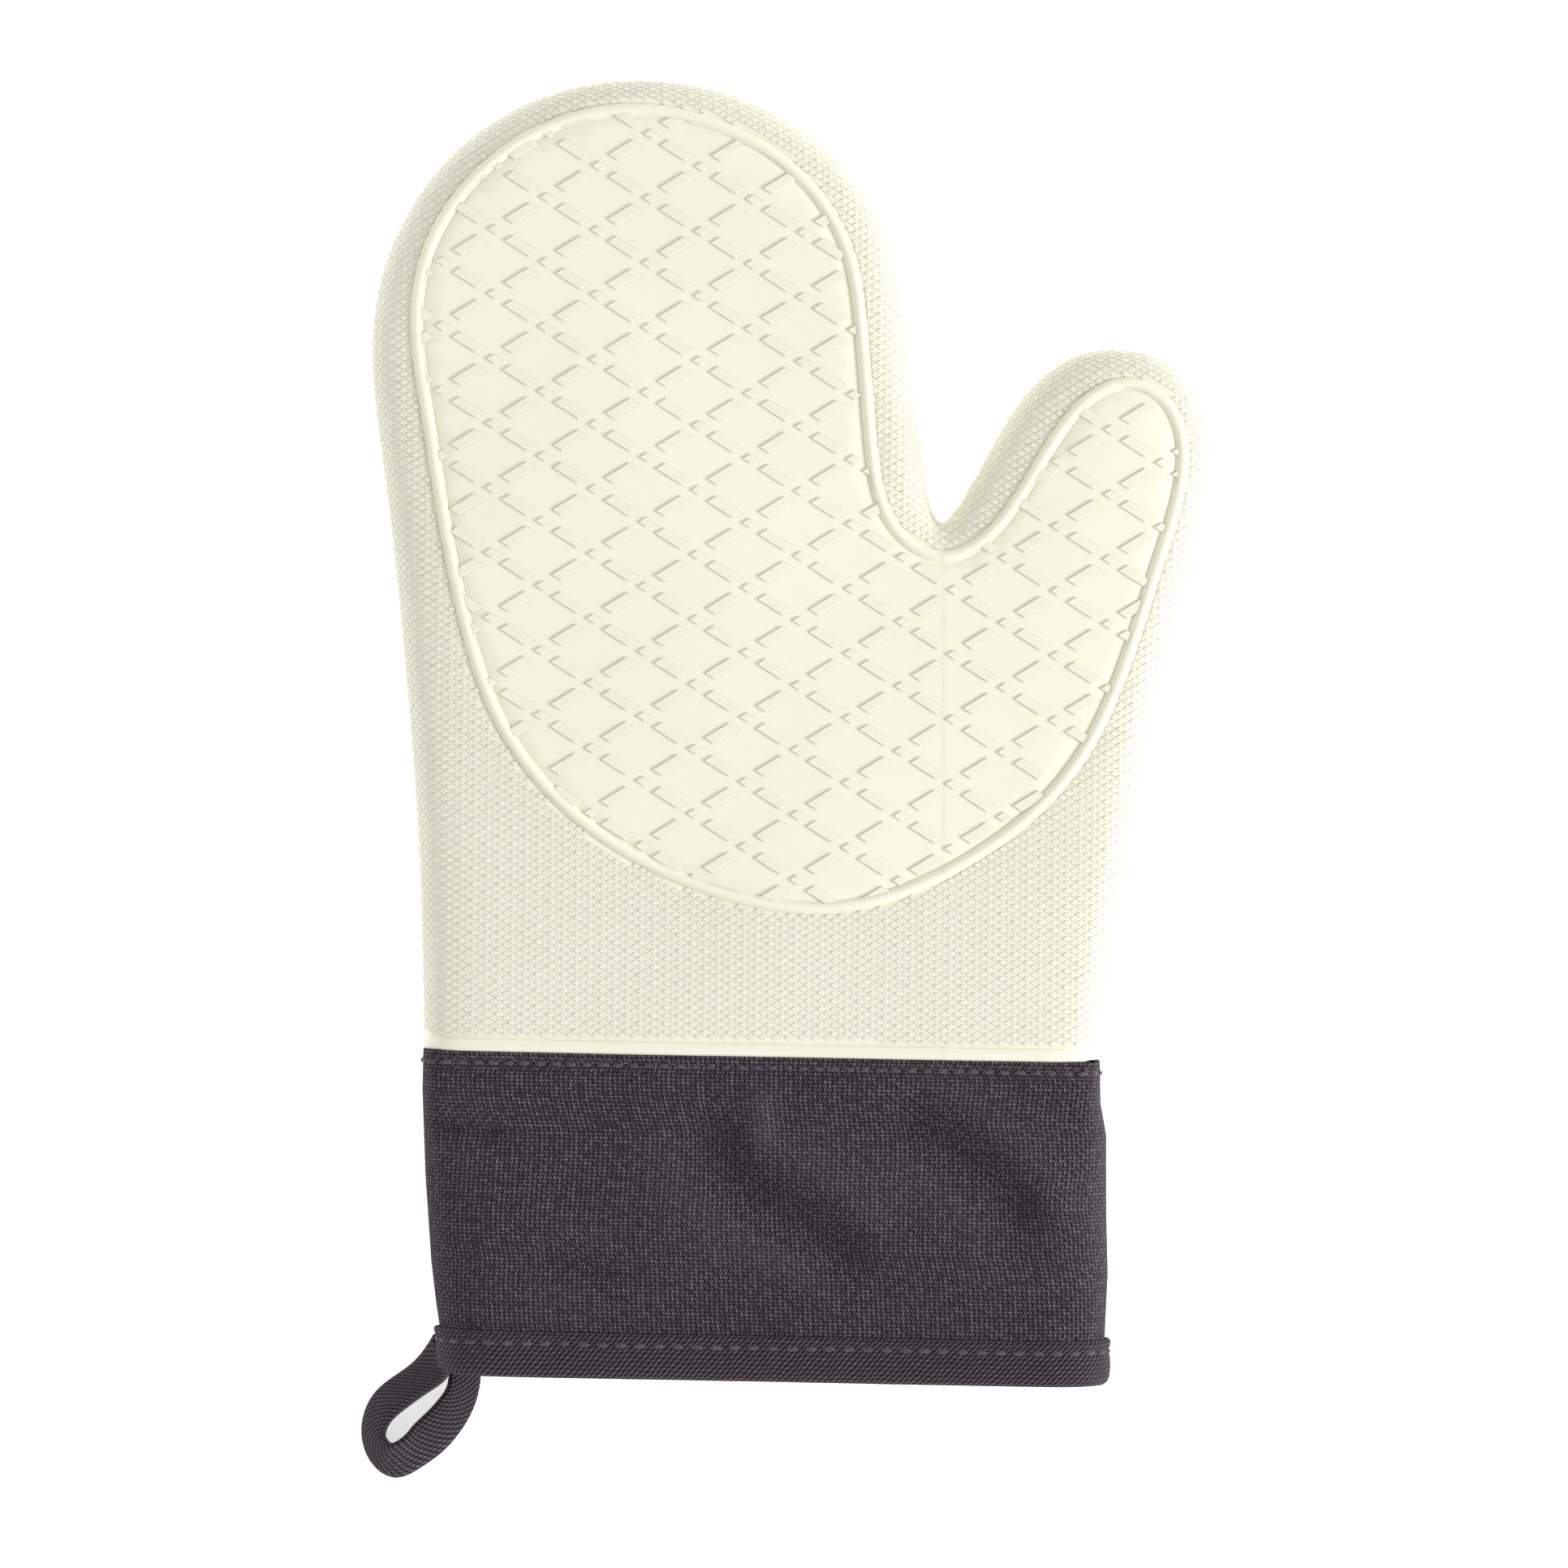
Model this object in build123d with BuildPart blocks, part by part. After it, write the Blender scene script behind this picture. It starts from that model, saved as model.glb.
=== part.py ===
"""Silicone oven mitt with a quilted lining, a canvas cuff and a hanging loop.

The mitt lies on its back, palm upwards: X runs across the hand, +Y points to the
finger tips, Z is the thickness, and the origin is under the middle of the mitt.
All sizes are in millimetres.
"""

from build123d import *
import os
from math import cos, radians, sin

# ------------------------------------------------------------------ driving dimensions
SKIN_HEIGHT = 30.0        # thickness of the moulded hand, back to palm
SKIN_WALL = 1.8           # silicone wall
EDGE_RADIUS = 8.5         # rounding between the faces and the side wall
WADDING = 3.0             # padding between silicone and lining
LINING = 0.8              # cotton lining cloth
JOINT_GAP = 0.6           # clearance between the bending sections

BEAD_WIDTH = 2.5          # raised rim around the grip panel
BEAD_HEIGHT = 1.0
BEAD_ROOT = 1.0           # depth of the rim's foot in the wall

HEM_Y = -58.3             # height of the silicone's lower edge at the middle
HEM_TURN = -1.1           # degrees that the wrist leans from the X axis
FLANGE_LENGTH = 9.0       # sewing flange under the cuff
FLANGE_WALL = 1.2

CUFF_CLOTH = 1.0
CUFF_LENGTH = 70.2
CUFF_WADDING = 2.2
CUFF_ROUNDING = 0.42      # corner radius of the cuff as a share of its height

BINDING_WIDTH = 9.8
BINDING_PROUD = 0.8       # tape thickness

STITCH = (2.4, 0.7, 0.5)  # length, width and height of one stitch
STITCH_CLEAR = 0.05       # room between a stitch and the sloping cloth under it
TOP_STITCH_DOWN = 2.5     # from the cuff's folded edge
TOP_STITCH_PITCH = 3.4
BINDING_STITCH_DOWN = 2.7
BINDING_STITCH_PITCH = 4.1

LOOP_STRAP = 2.2          # thickness of the doubled tape
LOOP_BOTTOM = 0.8
LOOP_HEIGHT = 8.5         # width of the tape, standing on edge

# outline of the hand seen from the palm, clockwise: up one side, over the finger tips,
# down into the crotch, round the thumb and back to the wrist
HAND_OUTLINE = [
    (-76.6, -80.0), (-77.0, -58.0), (-77.6, -34.0), (-78.6, -8.0), (-80.6, 18.0),
    (-83.2, 46.0), (-86.4, 72.0), (-88.3, 92.0), (-86.0, 110.0), (-78.8, 125.8),
    (-64.2, 140.8), (-46.5, 149.0), (-30.0, 150.9), (-12.0, 148.0), (4.5, 140.0),
    (16.0, 129.5), (22.6, 116.5), (25.2, 102.0), (27.4, 84.0), (30.0, 69.0),
    (31.2, 60.5), (33.9, 56.2), (37.2, 59.4), (45.3, 72.9), (55.0, 86.6),
    (63.0, 91.8), (72.4, 93.0), (83.6, 89.6), (90.0, 81.0), (91.7, 70.0),
    (89.8, 57.5), (86.4, 42.0), (82.2, 25.5), (78.0, 8.0), (74.4, -12.0),
    (70.4, -36.0), (66.8, -58.0), (63.6, -80.0),
]

# centre line of the raised rim, clockwise: over the finger tips, down to the crotch,
# round the thumb and back under the palm
PANEL_OUTLINE = [
    (-30.9, 144.2), (-16.4, 141.5), (-3.0, 135.1), (7.3, 125.5), (13.8, 113.3),
    (16.6, 96.3), (18.6, 72.8), (21.3, 59.2), (26.9, 51.5), (34.5, 48.6),
    (42.4, 52.0), (49.6, 60.3), (58.1, 74.0), (65.7, 82.7), (73.3, 85.6),
    (80.4, 82.9), (84.7, 75.6), (84.9, 64.9), (80.2, 48.0), (72.6, 24.9),
    (64.5, 7.5), (54.1, -5.3), (40.4, -15.6), (24.5, -23.3), (9.3, -26.5),
    (-6.5, -25.0), (-23.5, -19.5), (-39.0, -10.9), (-51.7, 0.5), (-60.9, 14.1),
    (-67.2, 31.3), (-72.2, 54.2), (-76.6, 81.5), (-78.5, 100.4), (-75.8, 114.5),
    (-68.7, 126.5), (-58.0, 136.2), (-45.0, 142.3),
]

# bending lines: across the knuckles, and across the root of the thumb
KNUCKLE_Y = 66.0
CROTCH_X = 33.9
THUMB_LINE = ((33.9, 58.8), (100.0, 25.4))
REACH = 160.0             # half size of the cutting regions, larger than the mitt

# cuff stations: distance below the hem, left, right, bottom and top of the section
CUFF_STATIONS = [
    (0.0, -77.8, 68.2, 1.0, 29.6),
    (33.0, -77.5, 69.6, 1.0, 27.0),
    (CUFF_LENGTH, -73.6, 69.4, 1.0, 24.0),
]

# outer edge of the hanging loop, anticlockwise from the cuff's corner and back under it
LOOP_OUTLINE = [
    (-78.4, -120.6), (-80.6, -125.2), (-85.9, -129.2), (-90.2, -135.0), (-91.7, -141.0),
    (-89.6, -147.4), (-85.0, -150.7), (-79.6, -149.2), (-73.0, -143.8), (-68.4, -137.6),
    (-66.5, -131.0),
]

os.makedirs("parts", exist_ok=True)


def finish(part, name):
    """Labels a piece and writes it as its own file."""
    part.label = name
    export_step(part, f"parts/{name}.step")
    print(f"{name}: {len(part.solids())} solid(s), {part.volume / 1000:.2f} cm3")


# ------------------------------------------------------------------ the moulded hand
def moved_inwards(points, inset, periodic=False):
    """The points of a clockwise outline, each moved square to the curve through them."""
    curve = Spline(*points, periodic=periodic)
    moved = []
    for point in points:
        along = curve.tangent_at(curve.param_at_point(point))
        moved.append((point[0] + along.Y * inset, point[1] - along.X * inset))
    return moved


def hand_block(inset):
    """The whole hand as a full solid, this far inside the outer skin."""
    outline = moved_inwards(HAND_OUTLINE, inset)
    with BuildSketch(Plane.XY.offset(inset)) as footprint:
        with BuildLine():
            Spline(*outline)
            Line(outline[-1], outline[0])
        make_face()
    with BuildPart() as block:
        add(footprint.sketch)
        extrude(amount=SKIN_HEIGHT - 2 * inset)
        rims = block.faces().filter_by(Axis.Z).edges()
        fillet(rims, radius=EDGE_RADIUS - inset)
    return block.part


def hem_point(x):
    """A point on the leaning hem line."""
    return (x, HEM_Y + x * sin(radians(HEM_TURN)) / cos(radians(HEM_TURN)))


def thumb_point(side):
    """An end of the thumb's bending line, moved half a joint gap to one side."""
    (x0, y0), (x1, y1) = THUMB_LINE
    length = ((x1 - x0) ** 2 + (y1 - y0) ** 2) ** 0.5
    shift = side * JOINT_GAP / 2
    nx, ny = (y0 - y1) / length * shift, (x1 - x0) / length * shift
    return (x0 + nx, y0 + ny), (x1 + nx, y1 + ny)


def region(name):
    """Plan outline of one bending section, larger than the hand around it."""
    if name == "fingers":
        low = KNUCKLE_Y + JOINT_GAP / 2
        return [(-REACH, low), (CROTCH_X, low), (CROTCH_X, REACH), (-REACH, REACH)]
    if name == "thumb":
        near, far = thumb_point(1)
        return [near, far, (REACH, far[1]), (REACH, REACH), (near[0], REACH)]
    near, far = thumb_point(-1)
    low = KNUCKLE_Y - JOINT_GAP / 2
    return [
        hem_point(-REACH), hem_point(REACH), (REACH, far[1]), far, near,
        (near[0], low), (-REACH, low),
    ]


def wall_between(outer, inner):
    """The room between two full solids."""
    with BuildPart() as wall:
        add(outer)
        add(inner, mode=Mode.SUBTRACT)
    return wall.part


def section(wall, name, low=0.0, high=SKIN_HEIGHT):
    """One bending section of a wall, between two heights."""
    with BuildPart() as piece:
        add(wall)
        with BuildSketch(Plane.XY.offset(low)):
            Polygon(*region(name), align=None)
        extrude(amount=high - low, mode=Mode.INTERSECT)
    return piece.part


def panel_block(inset):
    """A shallow solid of the grip panel, standing from the rim's foot to its top."""
    outline = moved_inwards(PANEL_OUTLINE, inset, True)
    with BuildPart() as block:
        with BuildSketch(Plane.XY.offset(SKIN_HEIGHT - BEAD_ROOT)):
            with BuildLine():
                Spline(*outline, periodic=True)
            make_face()
        extrude(amount=BEAD_ROOT + BEAD_HEIGHT)
    return block.part


# ------------------------------------------------------------------ the cuff's sections
def cuff_size(down):
    """Left, right, bottom and top of the cuff at a distance below the hem."""
    for above, below in zip(CUFF_STATIONS, CUFF_STATIONS[1:]):
        if down <= below[0] or below is CUFF_STATIONS[-1]:
            share = (down - above[0]) / (below[0] - above[0])
            return [a + (b - a) * share for a, b in zip(above[1:], below[1:])]


def cuff_plane(down):
    """The plane of a cuff section, with its normal pointing to the mouth."""
    turn = radians(HEM_TURN)
    foot = (down * sin(turn), HEM_Y - down * cos(turn), 0)
    return Plane(origin=foot, x_dir=(cos(turn), sin(turn), 0), z_dir=(sin(turn), -cos(turn), 0))


def cuff_section(down, inset):
    """One closed section of the cuff, this far inside the cloth's outer face."""
    left, right, bottom, top = cuff_size(down)
    height = top - bottom
    with BuildSketch(cuff_plane(down)) as face:
        with Locations(((left + right) / 2, (bottom + top) / 2)):
            RectangleRounded(
                right - left - 2 * inset,
                height - 2 * inset,
                CUFF_ROUNDING * height - inset,
            )
    return face.sketch


def cuff_block(start, stop, inset):
    """A full solid of the cuff between two distances below the hem."""
    middle = [row[0] for row in CUFF_STATIONS if start < row[0] < stop]
    stations = [start, *middle, stop]
    with BuildPart() as block:
        for above, below in zip(stations, stations[1:]):
            loft([cuff_section(above, inset), cuff_section(below, inset)], ruled=True)
    return block.part


def cuff_wall(start, stop, outer, inner):
    """A tube of the cuff: the room between two insets."""
    return wall_between(cuff_block(start, stop, outer), cuff_block(start, stop, inner))


def parting_plane():
    """The plane through the side seams, which parts palm side from back."""
    heights = [(row[3] + row[4]) / 2 for row in (CUFF_STATIONS[0], CUFF_STATIONS[-1])]
    slope = (heights[0] - heights[1]) / CUFF_LENGTH
    return Plane(origin=(0, HEM_Y, heights[0]), x_dir=(1, 0, 0), z_dir=(0, -slope, 1))


def half(part, keep):
    """The palm side (Keep.TOP) or the back (Keep.BOTTOM) of a cuff piece."""
    with BuildPart() as piece:
        add(part)
        split(bisect_by=parting_plane(), keep=keep)
    return piece.part


# ------------------------------------------------------------------ layers, outside in
skin_outer = hand_block(0)
skin_inner = hand_block(SKIN_WALL)
wadding_inner = hand_block(SKIN_WALL + WADDING)
lining_inner = hand_block(SKIN_WALL + WADDING + LINING)
skin_wall = wall_between(skin_outer, skin_inner)
rim_wall = wall_between(panel_block(-BEAD_WIDTH / 2), panel_block(BEAD_WIDTH / 2))

FLANGE_IN = CUFF_CLOTH + FLANGE_WALL
CUFF_WADDING_IN = FLANGE_IN + CUFF_WADDING
CUFF_LINING_IN = CUFF_WADDING_IN + LINING


def silicone(name):
    """One bending section of the moulded silicone skin, with its raised rim."""
    with BuildPart() as skin:
        add(section(skin_wall, name))
        add(section(rim_wall, name, high=SKIN_HEIGHT + BEAD_HEIGHT))
        if name == "hand":
            add(cuff_wall(0, FLANGE_LENGTH, CUFF_CLOTH, FLANGE_IN))
    return skin.part


for section_name in ("hand", "fingers", "thumb"):
    finish(silicone(section_name), f"silicone_{section_name}")

mid = SKIN_HEIGHT / 2
sides = {"front": (mid, SKIN_HEIGHT, Keep.TOP), "back": (0.0, mid, Keep.BOTTOM)}
layers = {
    "wadding": (
        wall_between(skin_inner, wadding_inner),
        cuff_wall(0, CUFF_LENGTH, FLANGE_IN, CUFF_WADDING_IN),
    ),
    "lining": (
        wall_between(wadding_inner, lining_inner),
        cuff_wall(0, CUFF_LENGTH, CUFF_WADDING_IN, CUFF_LINING_IN),
    ),
}
for layer, (hand_wall, cuff_tube) in layers.items():
    for side, (low, high, keep) in sides.items():
        for section_name in ("hand", "fingers", "thumb"):
            with BuildPart() as padding:
                add(section(hand_wall, section_name, low, high))
                if section_name == "hand":
                    add(half(cuff_tube, keep))
            finish(padding.part, f"{layer}_{side}_{section_name}")

# ------------------------------------------------------------------ the cuff's cloth
cuff_tube = cuff_wall(0, CUFF_LENGTH, 0, CUFF_CLOTH)
for side, (_, _, keep) in sides.items():
    finish(half(cuff_tube, keep), f"cuff_{side}")


def edge_binding():
    """Tape folded over the mouth: proud of the cloth outside and of the lining inside."""
    start = CUFF_LENGTH - BINDING_WIDTH + BINDING_PROUD
    stop = CUFF_LENGTH + BINDING_PROUD
    with BuildPart() as tape:
        add(cuff_wall(start, stop, -BINDING_PROUD, CUFF_LINING_IN + BINDING_PROUD))
        add(cuff_wall(start, CUFF_LENGTH, 0, CUFF_LINING_IN), mode=Mode.SUBTRACT)
    return tape.part


finish(edge_binding(), "edge_binding")


# ------------------------------------------------------------------ the stitching
def stitch_row(down, pitch, proud):
    """One row of stitches across the palm side and one across the back."""
    left, right, bottom, top = cuff_size(down)
    rounding = CUFF_ROUNDING * (top - bottom)
    count = int((right - left - 2 * rounding) / pitch)
    out = proud + STITCH_CLEAR + STITCH[2] / 2
    with BuildPart() as row:
        for height in (top + out, bottom - out):
            with Locations(cuff_plane(down)):
                with Locations(((left + right) / 2, height, 0)):
                    with GridLocations(pitch, 1, count, 1):
                        Box(STITCH[0], STITCH[2], STITCH[1])
    return row.part


binding_top = CUFF_LENGTH + BINDING_PROUD - BINDING_WIDTH
finish(stitch_row(TOP_STITCH_DOWN, TOP_STITCH_PITCH, 0), "cuff_top_stitching")
binding_row = stitch_row(binding_top + BINDING_STITCH_DOWN, BINDING_STITCH_PITCH, BINDING_PROUD)
finish(binding_row, "binding_stitching")


# ------------------------------------------------------------------ the hanging loop
def hanging_loop():
    """Doubled tape standing on edge, bent round in one open bow."""
    inner = moved_inwards(LOOP_OUTLINE, -LOOP_STRAP)
    with BuildPart() as loop:
        with BuildSketch(Plane.XY.offset(LOOP_BOTTOM)):
            with BuildLine():
                Spline(*LOOP_OUTLINE)
                Line(LOOP_OUTLINE[-1], inner[-1])
                Spline(*inner[::-1])
                Line(inner[0], LOOP_OUTLINE[0])
            make_face()
        extrude(amount=LOOP_HEIGHT)
    return loop.part


finish(hanging_loop(), "hanging_loop")
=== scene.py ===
# %% [markdown]
# # Silicone oven mitt with a canvas cuff
# The mitt lies on its back, palm upwards, with the finger tips towards +Y. It is a moulded silicone
# hand over a quilted liner, sewn into a short canvas cuff with bound edges and a hanging loop.
# The CAD model gives the joints and the collision shapes; everything that shows is built here in
# its soft form, because a moulded skin and cloth bend, while the CAD sections only turn.

# %% Setting up
from math import cos, pi, radians, sin, tan

import bmesh
import bpy
import numpy as np
from mathutils import Matrix, Vector
from mathutils.geometry import delaunay_2d_cdt
from mathutils.kdtree import KDTree


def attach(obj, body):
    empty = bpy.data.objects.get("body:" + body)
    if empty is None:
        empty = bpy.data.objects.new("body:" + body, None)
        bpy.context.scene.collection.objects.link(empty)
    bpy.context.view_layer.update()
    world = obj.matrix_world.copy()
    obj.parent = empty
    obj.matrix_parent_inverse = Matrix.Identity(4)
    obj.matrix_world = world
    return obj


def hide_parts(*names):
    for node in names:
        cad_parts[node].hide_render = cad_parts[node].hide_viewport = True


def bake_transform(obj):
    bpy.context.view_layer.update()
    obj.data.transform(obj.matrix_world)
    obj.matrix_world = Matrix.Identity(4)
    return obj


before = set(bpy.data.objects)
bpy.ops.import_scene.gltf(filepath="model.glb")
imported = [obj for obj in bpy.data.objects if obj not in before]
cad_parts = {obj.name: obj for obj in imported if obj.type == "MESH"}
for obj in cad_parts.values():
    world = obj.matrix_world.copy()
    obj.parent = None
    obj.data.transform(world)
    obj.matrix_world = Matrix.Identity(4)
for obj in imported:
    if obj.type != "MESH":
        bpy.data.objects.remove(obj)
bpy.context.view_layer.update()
MM = 0.001

# %% [markdown]
# ## Sizes
# A mitt like this is about 30 cm long. All sizes are in millimetres and turned into metres when a
# mesh is made. The hand's outline and the raised rim are drawn as a few points each, as a mould
# maker would set them out, and smooth curves run through them.

# %% Sizes of the moulded hand
MID_Z = 15.5            # parting height between palm side and back
SHOULDER_Z = 18.3       # where the straight side wall starts to round over
SHOULDER_IN = 5.4       # how far the rounding reaches inwards
SHOULDER_UP = 10.2      # and how far it rises
SHOULDER_TURN = 78.0    # degrees of rounding before the face takes over
SKIN_WALL = 1.8
BEAD_HALF = 1.25        # half width of the raised rim
BEAD_RISE = 1.0
HEM_Y = -58.3
HEM_TURN = radians(-1.1)
HEM_CLEAR = 3.3         # the small diamonds start this far above the edge
FLANGE = 7.0            # part of the skin that is hidden in the cuff

HAND = [
    (-76.6, -80.0), (-77.0, -58.0), (-77.6, -34.0), (-78.6, -8.0), (-80.6, 18.0),
    (-83.2, 46.0), (-86.4, 72.0), (-88.3, 92.0), (-86.0, 110.0), (-78.8, 125.8),
    (-64.2, 140.8), (-46.5, 149.0), (-30.0, 150.9), (-12.0, 148.0), (4.5, 140.0),
    (16.0, 129.5), (22.6, 116.5), (25.2, 102.0), (27.4, 84.0), (30.0, 69.0),
    (31.2, 60.5), (33.9, 56.2), (37.2, 59.4), (45.3, 72.9), (55.0, 86.6),
    (63.0, 91.8), (72.4, 93.0), (83.6, 89.6), (90.0, 81.0), (91.7, 70.0),
    (89.8, 57.5), (86.4, 42.0), (82.2, 25.5), (78.0, 8.0), (74.4, -12.0),
    (70.4, -36.0), (66.8, -58.0), (63.6, -80.0),
]
RIM = [
    (-30.9, 144.2), (-16.4, 141.5), (-3.0, 135.1), (7.3, 125.5), (13.8, 113.3),
    (16.6, 96.3), (18.6, 72.8), (21.3, 59.2), (26.9, 51.5), (34.5, 48.6),
    (42.4, 52.0), (49.6, 60.3), (58.1, 74.0), (65.7, 82.7), (73.3, 85.6),
    (80.4, 82.9), (84.7, 75.6), (84.9, 64.9), (80.2, 48.0), (72.6, 24.9),
    (64.5, 7.5), (54.1, -5.3), (40.4, -15.6), (24.5, -23.3), (9.3, -26.5),
    (-6.5, -25.0), (-23.5, -19.5), (-39.0, -10.9), (-51.7, 0.5), (-60.9, 14.1),
    (-67.2, 31.3), (-72.2, 54.2), (-76.6, 81.5), (-78.5, 100.4), (-75.8, 114.5),
    (-68.7, 126.5), (-58.0, 136.2), (-45.0, 142.3),
]

# %% [markdown]
# ## Smooth curves
# A cubic curve through the points, measured by its own length, gives even steps for the mesh
# columns. Each step also keeps the direction square to the curve, pointing out of the shape.

# %% Curves through points
def cubic(points, closed):
    """A function that gives points on a smooth curve, and the curve's last parameter."""
    p = np.array(points, float)
    if closed:
        p = np.vstack([p, p[:1]])
    h = np.linalg.norm(np.diff(p, axis=0), axis=1)
    t = np.concatenate([[0.0], np.cumsum(h)])
    n = len(p)
    lhs = np.zeros((n, n))
    rhs = np.zeros((n, p.shape[1]))
    for i in range(1, n - 1):
        lhs[i, i - 1:i + 2] = h[i - 1], 2 * (h[i - 1] + h[i]), h[i]
        rhs[i] = 6 * ((p[i + 1] - p[i]) / h[i] - (p[i] - p[i - 1]) / h[i - 1])
    if closed:
        lhs[0, 0], lhs[0, -1] = 1.0, -1.0
        lhs[-1, 0], lhs[-1, 1] = 2 * h[0], h[0]
        lhs[-1, -2], lhs[-1, -1] = h[-1], 2 * h[-1]
        rhs[-1] = 6 * ((p[1] - p[0]) / h[0] - (p[-1] - p[-2]) / h[-1])
    else:
        lhs[0, 0] = lhs[-1, -1] = 1.0
    m = np.linalg.solve(lhs, rhs)

    def at(x):
        i = np.clip(np.searchsorted(t, x, "right") - 1, 0, n - 2)
        b = ((x - t[i]) / h[i])[:, None]
        a = 1 - b
        bend = ((a**3 - a) * m[i] + (b**3 - b) * m[i + 1]) * (h[i] ** 2)[:, None] / 6
        return a * p[i] + b * p[i + 1] + bend

    return at, t[-1]


def even_curve(points, closed, step):
    """Evenly spaced points on the curve and the outward directions (clockwise curves)."""
    at, last = cubic(points, closed)
    fine = at(np.linspace(0, last, 6000))
    run = np.concatenate([[0], np.cumsum(np.linalg.norm(np.diff(fine, axis=0), axis=1))])
    count = int(round(run[-1] / step))
    want = np.linspace(0, run[-1], count + 1)
    line = np.column_stack([np.interp(want, run, fine[:, k]) for k in range(fine.shape[1])])
    if closed:
        line = line[:-1]
        along = np.roll(line, -1, 0) - np.roll(line, 1, 0)
    else:
        along = np.gradient(line, axis=0)
    along /= np.linalg.norm(along, axis=1)[:, None]
    return line, np.column_stack([-along[:, 1], along[:, 0]])


def tree_of(points):
    """A search tree over points in the plane."""
    tree = KDTree(len(points))
    for i, (x, y) in enumerate(points):
        tree.insert((x, y, 0.0), i)
    tree.balance()
    return tree


def nearest(tree, plan):
    """Number of the nearest tree point for each point of the plan."""
    return np.array([tree.find((x, y, 0.0))[1] for x, y in plan])


def above_hem(plan):
    """Distance of each point above the silicone's lower edge."""
    return (plan[:, 1] - HEM_Y - plan[:, 0] * tan(HEM_TURN)) * cos(HEM_TURN)


edge_line, edge_out = even_curve(HAND, False, 0.5)
rim_line, rim_out = even_curve(RIM, True, 0.4)
rim_tree = tree_of(rim_line)
print("outline", len(edge_line), "steps; rim", round(len(rim_line) * 0.4), "mm long")

# %% [markdown]
# ## The form of the skin
# The mould gives the hand a nearly flat palm that rolls over a shoulder into an upright side wall.
# I describe the surface by a flat pattern: inside the shoulder line the pattern is the plan itself,
# and outside it the distance to that line runs down the rounding and the wall. Any point of the
# pattern can then be laid on the form and lifted square to it, so texture follows the roll of
# the edge. In the crotch of the thumb the pattern is compressed, as the wall is longer there.

# %% The form as a function of the flat pattern
class Form:
    """The palm side of the hand at some depth below the outer face."""

    def __init__(self, inset):
        self.inset = inset
        turn = radians(SHOULDER_TURN)
        rise = SHOULDER_UP - inset
        reach = SHOULDER_IN * (1 - cos(turn))
        keep = above_hem(edge_line) > -FLANGE - 1.5
        self.out = edge_out[keep]
        self.line = edge_line[keep] - self.out * (reach + inset)
        angle = np.unwrap(np.arctan2(self.out[:, 1], self.out[:, 0]))
        step = np.linalg.norm(np.gradient(self.line, axis=0), axis=1)
        bend = np.clip(np.gradient(angle) / step, 0, None)
        soft = np.exp(-np.linspace(-2, 2, 17) ** 2)
        self.bend = np.convolve(bend, soft / soft.sum(), "same")
        self.tree = tree_of(self.line)
        phi = np.linspace(turn, 0, 60)
        out = np.append(SHOULDER_IN * (np.cos(phi) - cos(turn)), SHOULDER_IN * (1 - cos(turn)))
        z = np.append(SHOULDER_Z + rise * np.sin(phi), MID_Z)
        self.run = np.concatenate([[0], np.cumsum(np.hypot(np.diff(out), np.diff(z)))])
        lean = np.arctan2(np.sin(phi) / rise, np.cos(phi) / SHOULDER_IN)
        self.profile = (out, z, np.append(lean, 0.0))
        self.top = SHOULDER_Z + rise * sin(turn)

    def feet(self, plan):
        """Nearest shoulder point, and distance outside the shoulder line."""
        i = nearest(self.tree, plan)
        return i, np.einsum("ij,ij->i", plan - self.line[i], self.out[i])

    def down(self, i, w):
        """Distance down the wall for a distance outside the shoulder line."""
        k = self.bend[i]
        left = np.clip(1 - k * w, 2e-3, None)
        return np.where(k > 1e-3, -np.log(left) / np.maximum(k, 1e-3), w)

    def lay(self, plan, lift, low=None):
        """Lays pattern points on the form, lifted square to it."""
        i, w = self.feet(plan)
        out = self.out[i]
        a = self.down(i, w)
        if low is not None:
            a = np.minimum(a, self.run[-1] - low)
        reach, z, lean = (np.interp(a, self.run, part) for part in self.profile)
        wall = np.column_stack([plan - out * (w - reach)[:, None], z])
        wall_n = np.column_stack([out * np.cos(lean)[:, None], np.sin(lean)])
        e = np.clip(-w, 0, None)
        x, y = plan[:, 0], plan[:, 1]
        fade = 1 - np.exp(-e / 12)
        dent = 0.22 * np.sin(x / 17 + 0.6) * np.cos(y / 23) + 0.12 * np.sin(x / 9 - y / 13)
        height = self.top + 0.95 * (1 - np.exp(-e / 2.6)) + 1.0 * (1 - np.exp(-e / 28)) + dent * fade
        fall = 0.95 / 2.6 * np.exp(-e / 2.6) + 1.0 / 28 * np.exp(-e / 28)
        dx = 0.22 / 17 * np.cos(x / 17 + 0.6) * np.cos(y / 23) + 0.12 / 9 * np.cos(x / 9 - y / 13)
        dy = -0.22 / 23 * np.sin(x / 17 + 0.6) * np.sin(y / 23) - 0.12 / 13 * np.cos(x / 9 - y / 13)
        face = np.column_stack([plan, height])
        face_n = np.column_stack([fall * out[:, 0] - dx * fade, fall * out[:, 1] - dy * fade, 0 * x + 1])
        face_n /= np.linalg.norm(face_n, axis=1)[:, None]
        on_wall = (w > 0)[:, None]
        normal = np.where(on_wall, wall_n, face_n)
        return np.where(on_wall, wall, face) + normal * lift[:, None]


skin_form = Form(0.0)
crotch = int(np.argmax(skin_form.bend))
SPLIT_X = float(skin_form.line[crotch, 0])
print("wall", round(float(skin_form.run[-1]), 1), "mm down; sides part at x", round(SPLIT_X, 2))

# %% [markdown]
# ## The skin's own relief
# Two things stand on the skin itself: the half-round rim about the grip panel, with a fine crease
# at each foot, and a smooth band along the hem. Below the hem the skin dips under the canvas.

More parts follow.
